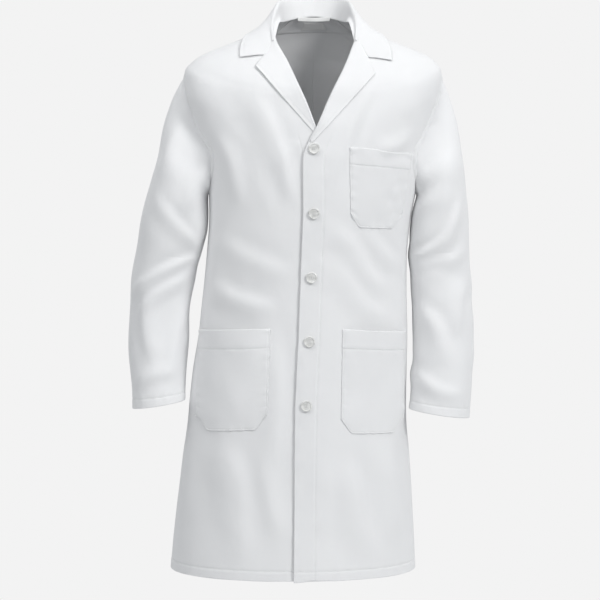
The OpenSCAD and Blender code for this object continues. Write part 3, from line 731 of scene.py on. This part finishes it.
BACK_ROWS = row_list(0.08, 24, STEP, HEM_FINE)
arm = armhole(BACK_ROWS, ARM_BACK)
for side, name in ((1, "back_left"), (-1, "back_right")):
    angle_a = np.full(len(BACK_ROWS), 90.0 - side * SEAM_DEG)
    angle_b = arm + SEAM_DEG if side > 0 else 180 - arm - SEAM_DEG
    parts = body_panel(BACK_ROWS, angle_a, angle_b, zero, False, 31 + side, [0, 0.5, 1.2, 2.4, 5])
    build(name + "_cloth", parts, CLOTH_MATS, [name], "coat")


# ---- inner bands of the body
def band(name, rows, angle_a, angle_b, top, nodes, n, body=None, layer=(-3.1, -1.9),
         mat=LINING, slot="cloth"):
    """A strip inside the body between two angles; layer gives the heights of its two faces."""
    angle_a, angle_b = np.full(len(rows), angle_a), np.full(len(rows), angle_b)
    angles = angle_a[:, None] + (angle_b - angle_a)[:, None] * np.linspace(0, 1, n)
    t = rows[:, None] + 0 * angles
    p, up = shape(t, angles), normals(shape, t, angles)
    lift = top(t, surface(t, angles)[..., 0])
    inner, outer = (p + up * (d + lift)[..., None] for d in layer)
    slab = slab_part(outer, inner, uv_of(distances(p, 1), distances(p)))
    build(name, [slab], [mat], nodes, body)


low = np.array([24 - v / LOW for v in (HEM, HEM - 1, 13, 8, 4, 1.5, 0.5)])
band("hem_back_band", low, 1.0, 179.0, zero, ["hem_back"], 150, "coat")
band("hem_left_band", low, across(low, left_x(low) + 39), -1.0, lapped, ["hem_left", "hem_left_corner"], 70)
band("hem_right_band", low, across(low, right_x(low) - 39), -179.0, zero,
     ["hem_right", "hem_right_corner"], 70)
for word, first, edge, side, top in (("left", 8.2, left_x, 1, lapped), ("right", 8.4, right_x, -1, zero)):
    rows = row_list(first, 23.98, STEP)
    angle_a, angle_b = (across(rows, edge(rows) + side * v) for v in (1.2, 38))
    nodes = ["facing_" + word, "facing_%s_corner" % word]
    band("facing_%s_band" % word, rows, angle_a, angle_b, top, nodes, 12)
band("neck_facing_band", np.linspace(0.25, 2.0, 18), 50.0, 130.0, zero, ["neck_facing"], 50, "coat")
band("neck_label_patch", np.linspace(0.95, 1.75, 10), 78.0, 102.0, zero, ["neck_label"], 16, "coat",
     (-4.2, -3.5), WOVEN, "label")


# ---- cloth that rolls over: lapels and collar
def grid_normals(c, wrap=False):
    du = np.gradient(c, axis=0)
    dv = (np.roll(c, -1, 1) - np.roll(c, 1, 1)) / 2 if wrap else np.gradient(c, axis=1)
    return unit(np.cross(du, dv))


def grid_uv(c):
    a, b = distances(c, 1), distances(c)
    return uv_of(a, b), a, b


def hermite(ctrl, at, out):
    """Smooth rows through control rows ctrl placed at the values at."""
    at = np.asarray(at, float)
    m = np.empty_like(ctrl)
    m[1:-1] = (ctrl[2:] - ctrl[:-2]) / (at[2:] - at[:-2])[:, None, None]
    m[0] = (ctrl[1] - ctrl[0]) / (at[1] - at[0])
    m[-1] = (ctrl[-1] - ctrl[-2]) / (at[-1] - at[-2])
    i = np.clip(np.searchsorted(at, out, "right") - 1, 0, len(at) - 2)
    h = (at[i + 1] - at[i])[:, None, None]
    f = ((out - at[i]) / (at[i + 1] - at[i]))[:, None, None]
    return ((1 + 2 * f) * (1 - f) ** 2 * ctrl[i] + f * (1 - f) ** 2 * h * m[i]
            + f * f * (3 - 2 * f) * ctrl[i + 1] + f * f * (f - 1) * h * m[i + 1])


ROLL_RUN, LEAF_RUN = 16.2, 60.0      # how much of a lapel's row is its roll and its flat leaf


def lapel(word, side, roll, edge, shares, tail):
    """The front's facing turned out over the roll line and laid on the chest.

    Each row runs straight across the lapel, as seen from the front, from the roll to the edge."""
    line = curve(roll, 160)
    arc = distances(line) / distances(line)[-1]
    edge = np.array(edge, float)
    roll_at = np.stack([np.interp(shares, arc, line[:, k]) for k in (0, 1)], -1)
    edge_at = np.stack([np.interp(shares, edge[:, 0], edge[:, k]) for k in (1, 2)], -1)
    w = np.maximum(np.linalg.norm(edge_at - roll_at, axis=1), 2.5)
    d = (edge_at - roll_at) / w[:, None]
    narrow = np.minimum(1, w / 14)
    stand = 1 - tail * ease((shares - 0.72) / 0.28)
    open_tip = (2.6 if side < 0 else 0.8) * ease((shares - 0.09) / 0.1) * ease((0.75 - shares) / 0.5)
    # the roll's section, as distance from the roll line and height
    keys = [(10.0, -3.1), (5.0, -3.0), (1.8, -2.4), (0.35, -1.1), (0.0, 0.5), (0.5, 2.2), (2.2, 3.5)]
    s_keys = [0, 5, 8.3, 10.2, 11.9, 13.7, ROLL_RUN]
    a = [k * narrow for k, _ in keys]
    h = [k * (mix(0.35, 1, stand) if k > 0 else mix(0.4, 1, stand)) for _, k in keys]
    for f in (0.12, 0.25, 0.42, 0.6, 0.8, 1.0):
        a.append(np.maximum(f * w, 2.2 * narrow + 2 * f))
        h.append(0.9 + (3.3 * (1 - f) ** 1.6 + (0.5 + open_tip) * f ** 2) * stand)
        s_keys.append(ROLL_RUN + LEAF_RUN * f)
    ctrl = np.stack([np.stack(a, 0), np.stack(h, 0)], -1)
    leaf = np.concatenate([np.linspace(0, 0.9, 16)[:-1], [0.9, 0.925, 0.95, 0.97, 0.985, 1.0]])
    out = np.concatenate([np.linspace(0, ROLL_RUN, 18)[:-1], ROLL_RUN + LEAF_RUN * leaf])
    placed = hermite(ctrl, s_keys, out)
    outwards, heights = placed[..., 0].T, placed[..., 1].T
    x, z = roll_at[:, :1] + d[:, :1] * outwards, roll_at[:, 1:] + d[:, 1:] * outwards
    t, u = place(x, z)
    lift = lapped(t, x) if side > 0 else 0 * x
    c = raised(t, u, D_OUT + lift + heights)
    n = grid_normals(c)
    uv, run_across, run_down = grid_uv(c)
    edge_dist = run_across[:, -1:] - run_across
    puff = groove(edge_dist, COLLAR_LINE, 0.3, 1.4)
    puff = puff + pucker(edge_dist, run_down, COLLAR_LINE, 50 + side, 0.2, 7, 30)
    i = len(shares) // 2
    if n[i, -3] @ normals(shape, t[i, -3], u[i, -3]) < 0:
        n = -n
    outer, inner = c + n * (0.6 + puff)[..., None], c - n * 0.6
    rows = [i for i in range(2, len(shares) - 2) if w[i] > 8]
    sew = line_at(edge_dist[:, ::-1], COLLAR_LINE, outer[:, ::-1], n[:, ::-1], rows)
    parts = [slab_part(outer, inner, uv, bulge=0.75), stitches(*sew, 3.0, 2.2, 0.32, 0.1)]
    build("lapel_%s_cloth" % word, parts, CLOTH_MATS, ["lapel_" + word], "coat")


# as seen from the front: points x, z down the roll, and the edge as share of the way down, x, z
LEFT_ROLL = [[76, -24], [77, -47], [69, -71], [54, -109], [29, -160], [3, -221], [-8, -243]]
RIGHT_ROLL = [[-74, -36], [-68, -62], [-48, -99], [-30, -139], [-13, -177], [3, -220], [9, -236]]
LEFT_LAPEL = [[0, 93, -66], [0.09, 99, -93], [0.2, 110, -121], [1, -5, -247]]
RIGHT_LAPEL = [[0, -88, -66], [0.09, -90.5, -83], [0.2, -106, -108], [1, 8, -238]]
LAPEL_ROWS = np.concatenate([
    np.linspace(0, 0.09, 7)[:-1], np.linspace(0.09, 0.2, 14)[:-1], [0.2], np.linspace(0.205, 1, 80)])
lapel("left", 1, LEFT_ROLL, LEFT_LAPEL, LAPEL_ROWS, 0.7)
lapel("right", -1, RIGHT_ROLL, RIGHT_LAPEL, LAPEL_ROWS, 1.0)

# top of the collar's roll: angle, x, y, z
ROLL_TOP = np.array([[-38, 74, -48, -56], [-18, 76, -18, -20], [0, 69, 10, 12], [30, 60, 40, 25],
                 [60, 37, 64, 31], [90, 0, 74, 33]], float)


def roll_point(u):
    """The top of the collar's roll, from the back middle to the front ends."""
    line = curve(ROLL_TOP[:, 1:], 61)
    angle = np.interp(np.linspace(0, 5, 61), range(6), ROLL_TOP[:, 0])
    return np.stack([np.interp(np.clip(u, -38, 90), angle, line[:, k]) for k in range(3)], -1)


# edge of the collar's leaf: angle, section
LEAF_EDGE = [[-45, 3.5], [-40, 3.35], [-6, 2.4], [0, 2.15], [30, 2], [90, 1.9]]

# front ends of the collar leaf as seen from the front: share of the way down, x, z
LEAF_FRONT_LEFT = np.array([[0, 78, -44], [0.25, 84, -62], [0.5, 98, -89], [1, 140, -96]], float)
LEAF_FRONT_RIGHT = np.array([[0, 72, -44], [0.25, 77, -60], [0.5, 90, -84], [1, 135, -90]], float)
# height of those ends over the front: flush with the lapel down to the notch
LEAF_END_HEIGHT = ([0, 0.2, 0.36, 0.5, 0.66, 0.82, 1], [3.9, 2.9, 1.8, 1.3, 2.2, 2.6, 2.8])


def collar():
    v = np.linspace(-1, 1, 181)
    stand_u = 90 - np.abs(v) * 99
    foot = surface(0, stand_u)
    top = roll_point(90 - np.abs(v) * 128)
    top_s = roll_point(stand_u)
    flip = np.where(v < 0, -1, 1)
    out = unit(np.stack([top[:, 0], top[:, 1] - 5, 0 * v], -1))
    out_s = unit(np.stack([foot[:, 0], foot[:, 1] - 5, 0 * v], -1))
    keys = []
    for g in (0, 0.35, 0.7):
        m = mix(foot, mix(top_s, top, g), g * 0.92)
        keys.append((g * 24, m - out_s * 1.6 - np.array([0, 0, 3.0]) * (1 - g)))
    near_end = ease((np.abs(v) - 0.66) / 0.34)
    close = near_end[:, None]
    # over the roll: distance along it, how far out in the middle and at the ends, and height
    for run, middle, end, rise in ((23, -2.6, -0.3, -4.0), (26.5, -1.2, 0.7, -0.6),
                                   (29.5, 1.6, 2.4, 0.4), (33, 4.0, 4.0, -2.2)):
        keys.append((run, top + out * mix(middle, end, close) + [0, 0, rise]))
    for f in (0.2, 0.36, 0.5, 0.66, 0.82, 1.0):
        u = 90 - np.abs(v) * (90 + table(f, [[0, 38], [0.5, 45], [1, 38]]))
        t = table(u, LEAF_EDGE) * mix(0.45, 1, f)
        for sign, line in ((1, LEAF_FRONT_LEFT), (-1, LEAF_FRONT_RIGHT)):
            ex, ez = (np.interp(f, line[:, 0], line[:, k]) for k in (1, 2))
            et, eu = place(np.array([sign * ex]), np.array([ez]))
            eu = eu if sign > 0 else -180 - eu
            k = 0 if sign < 0 else -1
            w = np.where(v * sign > 0, near_end, 0)
            t, u = t + w * (et[0] - t[k]), u + w * (eu[0] - u[k])
        real_u = np.where(v < 0, 180 - u, u)
        rest = raised(t, real_u, mix(4.6 + 7.5 * (1 - f) ** 1.4, np.interp(f, *LEAF_END_HEIGHT), near_end))
        rest[:, 0] *= flip
        hang = mix(top + out * mix(6, 2.5, close) - [0, 0, 6], rest, 0.35)
        keys.append((36 + 42 * f, mix(hang, rest, ease(f / mix(0.42, 0.3, near_end))[:, None])))
    at, ctrl = [k for k, _ in keys], np.stack([k for _, k in keys], 0)
    ctrl[..., 0] *= flip
    outs = np.concatenate([
        np.linspace(0, 36, 22)[:-1], np.linspace(36, 74, 16)[:-1], [74, 75, 76, 76.8, 77.5, 78]])
    c = hermite(ctrl, at, outs)
    n = grid_normals(c)
    if n[-4, c.shape[1] // 2, 1] < 0:
        n = -n
    uv, run_across, run_down = grid_uv(c)
    edge = run_down[-1:] - run_down
    ends = np.minimum(run_across, run_across[:, -1:] - run_across)
    on_leaf = ease((run_down / run_down[-1:] - 0.4) / 0.1)
    near = np.minimum(edge, ends + 100 * (1 - on_leaf))
    puff = groove(near, COLLAR_LINE, 0.4, 1.3) + pucker(edge, run_across, COLLAR_LINE, 61, 0.25, 7, 26)
    puff = on_leaf * puff
    outer, inner = c + n * (0.85 + puff)[..., None], c - n * 0.85
    sew = level_at(edge, COLLAR_LINE, outer, n, range(3, c.shape[1] - 3))
    parts = [slab_part(outer, inner, uv, bulge=0.75), stitches(*sew, 3.0, 2.2, 0.32, 0.1)]
    build("collar_cloth", parts, CLOTH_MATS, ["collar_leaf", "collar_stand"], "coat")


collar()

# ---- sleeves
# rings down each arm: outer x, z, inner x, z, middle's y, and half depth
LEFT_ARM = [
    [277, -270, 189, -343, 0, 68], [282, -312, 182, -374, 0, 70], [286, -356, 178, -404, 2, 70],
    [289, -398, 177, -428, 4, 69], [291, -430, 177, -440, 6, 68], [293, -465, 178, -465, 7, 66],
    [296, -520, 181, -520, 3, 64], [298, -585, 183.5, -585, -6, 62],
    [295, -680, 181.5, -674, -22, 58], [290, -752, 177, -736, -34, 54]]
RIGHT_ARM = [
    [290, -265, 196, -343, 0, 70], [303, -308, 196, -376, 0, 72], [316, -352, 199, -406, 2, 72],
    [327, -396, 206, -432, 4, 70], [334, -436, 212, -452, 6, 68], [340, -480, 222, -480, 7, 66],
    [344, -532, 230, -532, 3, 63], [346.5, -600, 234, -600, -6, 60],
    [341.5, -678, 238, -672, -22, 56], [338, -735, 238.5, -719, -34, 52]]
# each fold of a sleeve: height, width on both sides, and the points angle, z along it
LEFT_SLEEVE_FOLDS = [
    (5.0, 9, 14, 186, -470, 268, -428, 297, -395, 322, -345),
    (2.8, 9, 13, 184, -486, 255, -466, 300, -452, 330, -420),
    (1.6, 9, 13, 196, -508, 240, -492, 290, -488),
    (1.6, 13, 16, 200, -262, 260, -286, 322, -298),
    (1.2, 14, 18, 195, -322, 268, -350, 322, -377),
    (3.6, 12, 18, 205, -532, 255, -587, 275, -665),
    (3.4, 12, 18, 330, -487, 300, -532, 290, -610),
    (2.8, 10, 14, 205, -668, 262, -700, 320, -706),
    (4.0, 11, 16, 150, -455, 90, -440, 40, -400),
    (3.6, 12, 16, 160, -490, 100, -500, 50, -540),
    (3.0, 13, 18, 40, -300, 80, -360, 110, -420),
    (3.4, 14, 20, 120, -560, 90, -620, 60, -690),
    (2.0, 14, 18, 20, -560, 10, -640, 350, -700)]
RIGHT_SLEEVE_FOLDS = [
    (4.8, 9, 14, 186, -446, 235, -463, 300, -500, 345, -534),
    (2.4, 10, 14, 188, -418, 228, -410, 285, -380, 328, -352),
    (3.8, 9, 13, 186, -476, 230, -496, 285, -530, 320, -575),
    (3.6, 12, 18, 205, -221, 235, -295, 262, -386),
    (3.0, 14, 20, 262, -170, 300, -258, 322, -350),
    (3.2, 13, 18, 285, -500, 295, -569, 272, -660),
    (3.4, 12, 17, 205, -520, 232, -605, 245, -680),
    (2.6, 10, 14, 335, -690, 280, -672, 215, -664),
    (4.0, 11, 16, 150, -460, 90, -450, 40, -410),
    (3.6, 12, 16, 160, -495, 100, -505, 50, -545),
    (3.0, 13, 18, 40, -300, 80, -360, 110, -420),
    (3.4, 14, 20, 120, -560, 90, -620, 60, -690)]
SLEEVE_COLS = 84


def ring_at(row, side, ang):
    """A ring of a sleeve; near the armhole its inner side is moved forward."""
    ox, oz, ix, iz, y, depth = row
    o, n = np.array([ox, y, oz]), np.array([ix, y, iz])
    c, e, r = (o + n) / 2, unit(o - n), np.linalg.norm(o - n) / 2
    p = c + r * np.cos(ang)[:, None] * e + depth * np.sin(ang)[:, None] * np.array([0, 1, 0])
    p[:, 1] -= 12 * ease((oz + 560) / 110) * np.maximum(0, -np.cos(ang)) ** 2
    p[:, 0] *= side
    return p


def sleeve_folds(angles, z, folds_list, seed):
    """Fold height on a sleeve: its own folds, repeated round it, and soft unevenness."""
    height = 0
    for amp, near, far, *points in folds_list:
        for turn in (-360, 0, 360):
            if turn == 0 or min(points[::2]) < 60 or max(points[::2]) > 300:
                height = height + ridge(angles + turn, z, 1.3 * amp, near, far, *points)
    cx, cy = 60 * np.cos(np.radians(angles)), 60 * np.sin(np.radians(angles))
    r = np.random.default_rng(seed)
    soft = 0
    for _ in range(16):
        k = r.normal(size=3)
        k = k / np.linalg.norm(k) / r.uniform(60, 190)
        soft = soft + np.sin(2 * np.pi * (k[0] * cx + k[1] * cy + k[2] * z) + r.uniform(0, 6.28))
    return height + 0.35 * soft * (0.6 + 0.8 * bump(z, -470, 70))


def armhole_ring(side, deg, inset, d):
    """The armhole's edge, moved towards the chest by inset (degrees) and out by d."""
    back = deg <= 180
    t = mix(5.9, ARM_BOTTOM, np.where(back, deg / 180, (360 - deg) / 180))
    u = np.where(back, armhole(t, ARM_BACK) + inset, -armhole(t, ARM_FRONT) - inset)
    return raised(t, u if side > 0 else 180 - u, d)


def sleeve(word, side, arm, folds_list, bulge, split_z, seed):
    """A whole sleeve, cut at the height split_z into its head and its lower part, and its cuff's hem."""
    deg = np.linspace(0, 360, SLEEVE_COLS, endpoint=False)
    ang = np.radians(deg)
    outward = np.maximum(0, np.cos(ang))
    first = ring_at(arm[0], side, ang)
    h = armhole_ring(side, deg, 0.0, -3.6)
    sway = np.array([side, 0, 0])
    ctrl = [armhole_ring(side, deg, 2.2, -3.6), armhole_ring(side, deg, 0.6, -3.8)]
    for s, ease_out in ((0.04, -0.4), (0.14, 1.0), (0.34, 2.4), (0.64, 1.2)):
        m = mix(h, first, s) + sway * (bulge * np.sin(np.pi * s) * outward)[:, None]
        ctrl.append(m + unit(m - m.mean(0)) * ease_out * (0.35 + 0.65 * outward)[:, None])
    ctrl = np.array(ctrl + [ring_at(r, side, ang) for r in arm])
    at = np.concatenate([[0], np.linalg.norm(np.diff(ctrl, axis=0), axis=2).mean(1).cumsum()])
    total = at[-1]
    fine = [total - v for v in (0.01, 1, 2.2, 4, 8, 12, 14, 15.2, 16, 16.8, 18, 20, 24)]
    rows = np.array(sorted([v for v in np.arange(0, total - 26, 6.0)] + [2, 4, 8, 10] + fine))
    rows[-1] = total
    base = hermite(ctrl, at, rows)
    n = grid_normals(base, True)
    if ((n[20] * (base[20] - base[20].mean(0))).sum(1)).mean() < 0:
        n = -n
    z = base.mean(1)[:, 2][:, None] + 0 * deg
    a = deg[None] + 0 * z
    end = (total - rows)[:, None] + 0 * a
    start = rows[:, None] + 0 * a
    height = sleeve_folds(a, z, folds_list, seed) * ease((start - 8) / 60)
    arc = distances(base, 1)
    detail = sewn_line(end, arc, CUFF_LINE, (0.6, 1.4), 0.3, seed + 1, 0.4, 7)
    detail = detail + pucker(start, arc, 7, seed + 2, 0.8, 14, 26) * ease(start / 4)
    detail = detail + groove(np.abs(a - 180) * 1.05, 0, 0.5, 1.3) * ease((start - 8) / 10)
    body = base + n * height[..., None]
    normal = grid_normals(body, True)
    normal = normal * np.sign((normal * n).sum(-1, keepdims=True))
    outer, inner = body + normal * detail[..., None], body - normal * 1.1
    uv = uv_of(arc, start)
    cuff_seam = stitches(*level_at(end, CUFF_LINE, outer, normal, list(range(SLEEVE_COLS)) + [0]))
    split = int(np.argmin(np.abs(z[:, 0] - split_z)))
    for name, lo, hi, extra, nodes in (
            ("head", 0, split + 1, [], ["sleeve_head_" + word, "sleeve_%s_upper" % word]),
            ("lower", split, len(rows), [cuff_seam], ["sleeve_%s_lower" % word])):
        slab = slab_part(outer[lo:hi], inner[lo:hi], uv[lo:hi], wrap=True, bulge=0.5)
        obj = build("sleeve_%s_%s_cloth" % (word, name), [slab] + extra, CLOTH_MATS, nodes)
        ring = set(range(SLEEVE_COLS * (split - lo), SLEEVE_COLS * (split - lo + 1)))
        ring |= {v + SLEEVE_COLS * (hi - lo) for v in ring}
        flags = [e.vertices[0] in ring and e.vertices[1] in ring for e in obj.data.edges]
        sharp = obj.data.attributes.new("sharp_edge", "BOOLEAN", "EDGE")
        sharp.data.foreach_set("value", flags)
    in_cuff = total - rows <= 16.9
    cuff = slab_part((body - normal * 1.5)[in_cuff], (body - normal * 2.6)[in_cuff], uv[in_cuff], wrap=True)
    build("cuff_%s_band" % word, [cuff], [LINING], ["cuff_" + word], word + "_lower_sleeve")


sleeve("left", 1, LEFT_ARM, LEFT_SLEEVE_FOLDS, 6, -445, 5)
sleeve("right", -1, RIGHT_ARM, RIGHT_SLEEVE_FOLDS, 9, -455, 9)


# ---- pockets
def pocket(name, corners, chamfer, gape, hem, top, seed, lean=0.0, rumple=0.0):
    """A patch pocket; corners are x and depth below the neck, upper two first; gape opens its mouth."""
    box = np.array(corners, float)
    w = abs(box[1][0] - box[0][0])
    height = abs(box[2][1] - box[0][1])
    near = np.array([0, 0.5, 1.2, 2.0, 2.8, 3.6, 5, 8, 12])
    across_mm = np.concatenate([near, np.linspace(16, w - 16, 20), w - near[::-1]])
    down_mm = np.concatenate([
        [0, 0.5, 1.2, 2.4, 5, 9, 14, 20, 26], hem + np.array([-3, -1.5, -0.7, 0, 0.7, 1.5, 3]),
        np.linspace(hem + 8, height - 14, 22), height - near[::-1]])
    p, q = np.meshgrid(across_mm / w, down_mm / height)
    x, z = (mix(mix(box[0][k], box[1][k], p), mix(box[2][k], box[3][k], p), q) for k in (0, 1))
    z = z - chamfer * np.maximum(0, np.maximum(1 - p / 0.16, 1 - (1 - p) / 0.16)) * q ** 6
    t, u = place(x, -z, 6.0, 24)
    mouth = np.sin(np.pi * np.clip(p + lean * (p - p * p) * 2, 0, 1)) ** 0.7 * (1 - q) ** 1.6
    to_side, to_bottom, down = np.minimum(p * w, (1 - p) * w), (1 - q) * height, q * height
    e = np.minimum(to_side, to_bottom)
    belly = 1.4 * ease(e / 30) + 0.5 * soft_noise(x, z, seed, 60) * ease(e / 12)
    detail = groove(e, 2.2, 0.45, 0.9)
    detail = detail + pucker(e, np.where(to_bottom < to_side, p * w, down), 2, seed + 1, 0.7, 9, 17)
    detail = detail + sewn_line(down, p * w, hem, (0.5, 1.2), 0.45, seed + 2, 0.35, 7, 24)
    detail = detail + rumple * (soft_noise(x, z, seed + 3, 24) + 0.6) * ease((p - 0.55) / 0.3) * ease(e / 3)
    low = D_OUT + top(t, x) + 0.5 + gape * mouth + belly
    base, n = shape(t, u), normals(shape, t, u)
    uv = uv_of(p * w, down)
    outer = base + n * (low + 1.2 + detail)[..., None]
    inner = base + n * low[..., None]
    parts = [slab_part(outer, inner, uv, bulge=0.7)]
    # stitches run down one side, along the bottom and up the other side, and along the hem
    k, m, c = 3, len(down_mm), len(across_mm)
    ring = [(i, k) for i in range(m - k)] + [(m - 1 - k, j) for j in range(k + 1, c - k)]
    ring += [(i, c - 1 - k) for i in range(m - k - 2, -1, -1)]
    ring_rows, ring_cols = np.array(ring).T
    parts.append(stitches(outer[ring_rows, ring_cols], n[ring_rows, ring_cols], 3.0, 2.2, 0.42, 0.16))
    hem_row = 12                         # down_mm[12] is the hem's line
    parts.append(stitches(outer[hem_row, k:c - k], n[hem_row, k:c - k], 3.0, 2.2, 0.42, 0.16))
    for j in (k, c - 1 - k):
        d = unit(outer[0, min(j + 1, c - 1)] - outer[0, j - 1])
        for i in range(14):
            g = mix(outer[0, j], outer[6, j], (i + 1) / 15)
            bar = np.array([g - d * 1.3, g, g + d * 1.3])
            parts.append(stitches(bar, n[[0, 0, 0], j], 2.6, 2.6, 0.4, 0.3))
    build(name + "_cloth", parts, CLOTH_MATS, [name], "coat")
    faces = [(inner - n * v)[1:13, 1:-1] for v in (0.15, 0.75)]
    build(name + "_hem_band", [slab_part(*faces, uv[1:13, 1:-1])], [LINING], [name + "_hem"], "coat")


pocket("chest_pocket", [[63, 256], [178, 266], [66, 398], [158, 402]], 22, 6.5, 30, lapped, 71, 0.25, 1.1)
pocket("pocket_left", [[51, 584], [166, 592], [48, 771], [164, 776]], 26, 7.0, 34, lapped, 81)
pocket("pocket_right", [[-81, 583], [-212, 590], [-86, 763], [-217, 772]], 26, 7.0, 34, zero, 91)

# ---- hanger loop, buttons and thread
xs = np.linspace(-30, 30, 41)
loop_y = surface(0.3, 90)[1] - 5.2
bow = np.cos(np.pi * xs / 60) ** 2
sag = loop_y - 0.0112 * xs ** 2 - 8.4 * bow
rows_z = np.linspace(-12, -5, 9)
c = np.stack([np.stack([xs, sag, np.full_like(xs, z) - 1.2 * bow], -1) for z in rows_z])
wide = np.array([0, 0.6, 1, 1, 1, 1, 1, 0.6, 0])
n = grid_normals(c) * (0.35 + 0.15 * wide)[:, None, None]
build("hanger_loop_tape", [slab_part(c + n, c - n, grid_uv(c)[0])], [TAPE, THREAD], ["hanger_loop"], "coat")

for k in range(1, 6):
    for kind, m in (("button", PEARL), ("thread", THREAD)):
        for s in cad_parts["%s_%d" % (kind, k)].material_slots:
            s.material = m


# ---- stage and light
def area(name, location, size, power, target):
    light = bpy.data.objects.new(name, bpy.data.lights.new(name, "AREA"))
    light.data.shape = "DISK"
    light.data.size = size
    light.data.energy = power
    light.visible_camera = False
    aim(light, location, target)


MIDDLE = (-0.026, 0.0, -0.52)
area("key", (2.3, -2.6, 1.5), 1.4, 70, MIDDLE)
area("fill", (-1.5, -2.2, 2.0), 1.8, 18, (-0.1, -0.1, -0.3))
area("side", (-1.25, -0.85, 0.65), 0.8, 2.6, (-0.22, -0.08, -0.2))
area("top", (0.1, -0.6, 2.4), 1.4, 12, MIDDLE)
area("back_left", (-1.8, 2.4, 0.9), 1.8, 16, MIDDLE)
area("back_right", (2.2, 2.0, 0.6), 1.8, 16, MIDDLE)

world = bpy.data.worlds.new("world")
bpy.context.scene.world = world
world.use_nodes = True
world_tree = world.node_tree
world_tree.nodes.clear()
output = node(world_tree, "ShaderNodeOutputWorld")
seen = node(world_tree, "ShaderNodeBackground", {"Color": (0.896, 0.896, 0.896, 1), "Strength": 1.0})
lit = node(world_tree, "ShaderNodeBackground", {"Color": (0.94, 0.97, 1.0, 1), "Strength": 0.40})
either, path = node(world_tree, "ShaderNodeMixShader"), node(world_tree, "ShaderNodeLightPath")
wire(world_tree, (path, "Is Camera Ray", either, 0), (lit, 0, either, 1), (seen, 0, either, 2),
     (either, 0, output, 0))
bpy.context.scene.view_settings.view_transform = "Standard"

FLOOR_Z, FLOOR_RADIUS, FLOOR_SIDES = -1500, 1450, 96
turns = np.linspace(0, 2 * np.pi, FLOOR_SIDES, endpoint=False)
rim = [(FLOOR_RADIUS * np.cos(v), FLOOR_RADIUS * np.sin(v), FLOOR_Z) for v in turns]
triangles = [[0, 1 + i, 1 + (i + 1) % FLOOR_SIDES] for i in range(FLOOR_SIDES)]
pale, _, _ = material("pale_floor", {"Base Color": (0.88, 0.88, 0.88, 1), "Roughness": 0.9})
disc = part([(0, 0, FLOOR_Z)] + rim, triangles, np.zeros((FLOOR_SIDES + 1, 2)))
build("studio_floor", [disc], [pale])


def fold_blend(names, top, bottom, y):
    """Bakes the transform of each of these pieces into its mesh. The fold line from top to bottom (x, z) at
    depth y is not used.
    """
    top, bottom = (np.array([x, y, z]) for x, z in (top, bottom))
    for name in names:
        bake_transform(pieces[name])


fold_blend(["front_left_cloth", "hem_left_band", "facing_left_band"],
           (-26.4, -760), (141.8, -LENGTH), -137.4)
fold_blend(["front_right_cloth", "hem_right_band", "facing_right_band"],
           (-4.4, -760), (-172.5, -LENGTH), -128.3)
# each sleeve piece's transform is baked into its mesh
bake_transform(pieces["sleeve_left_head_cloth"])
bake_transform(pieces["sleeve_right_head_cloth"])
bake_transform(pieces["sleeve_left_lower_cloth"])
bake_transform(pieces["sleeve_right_lower_cloth"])
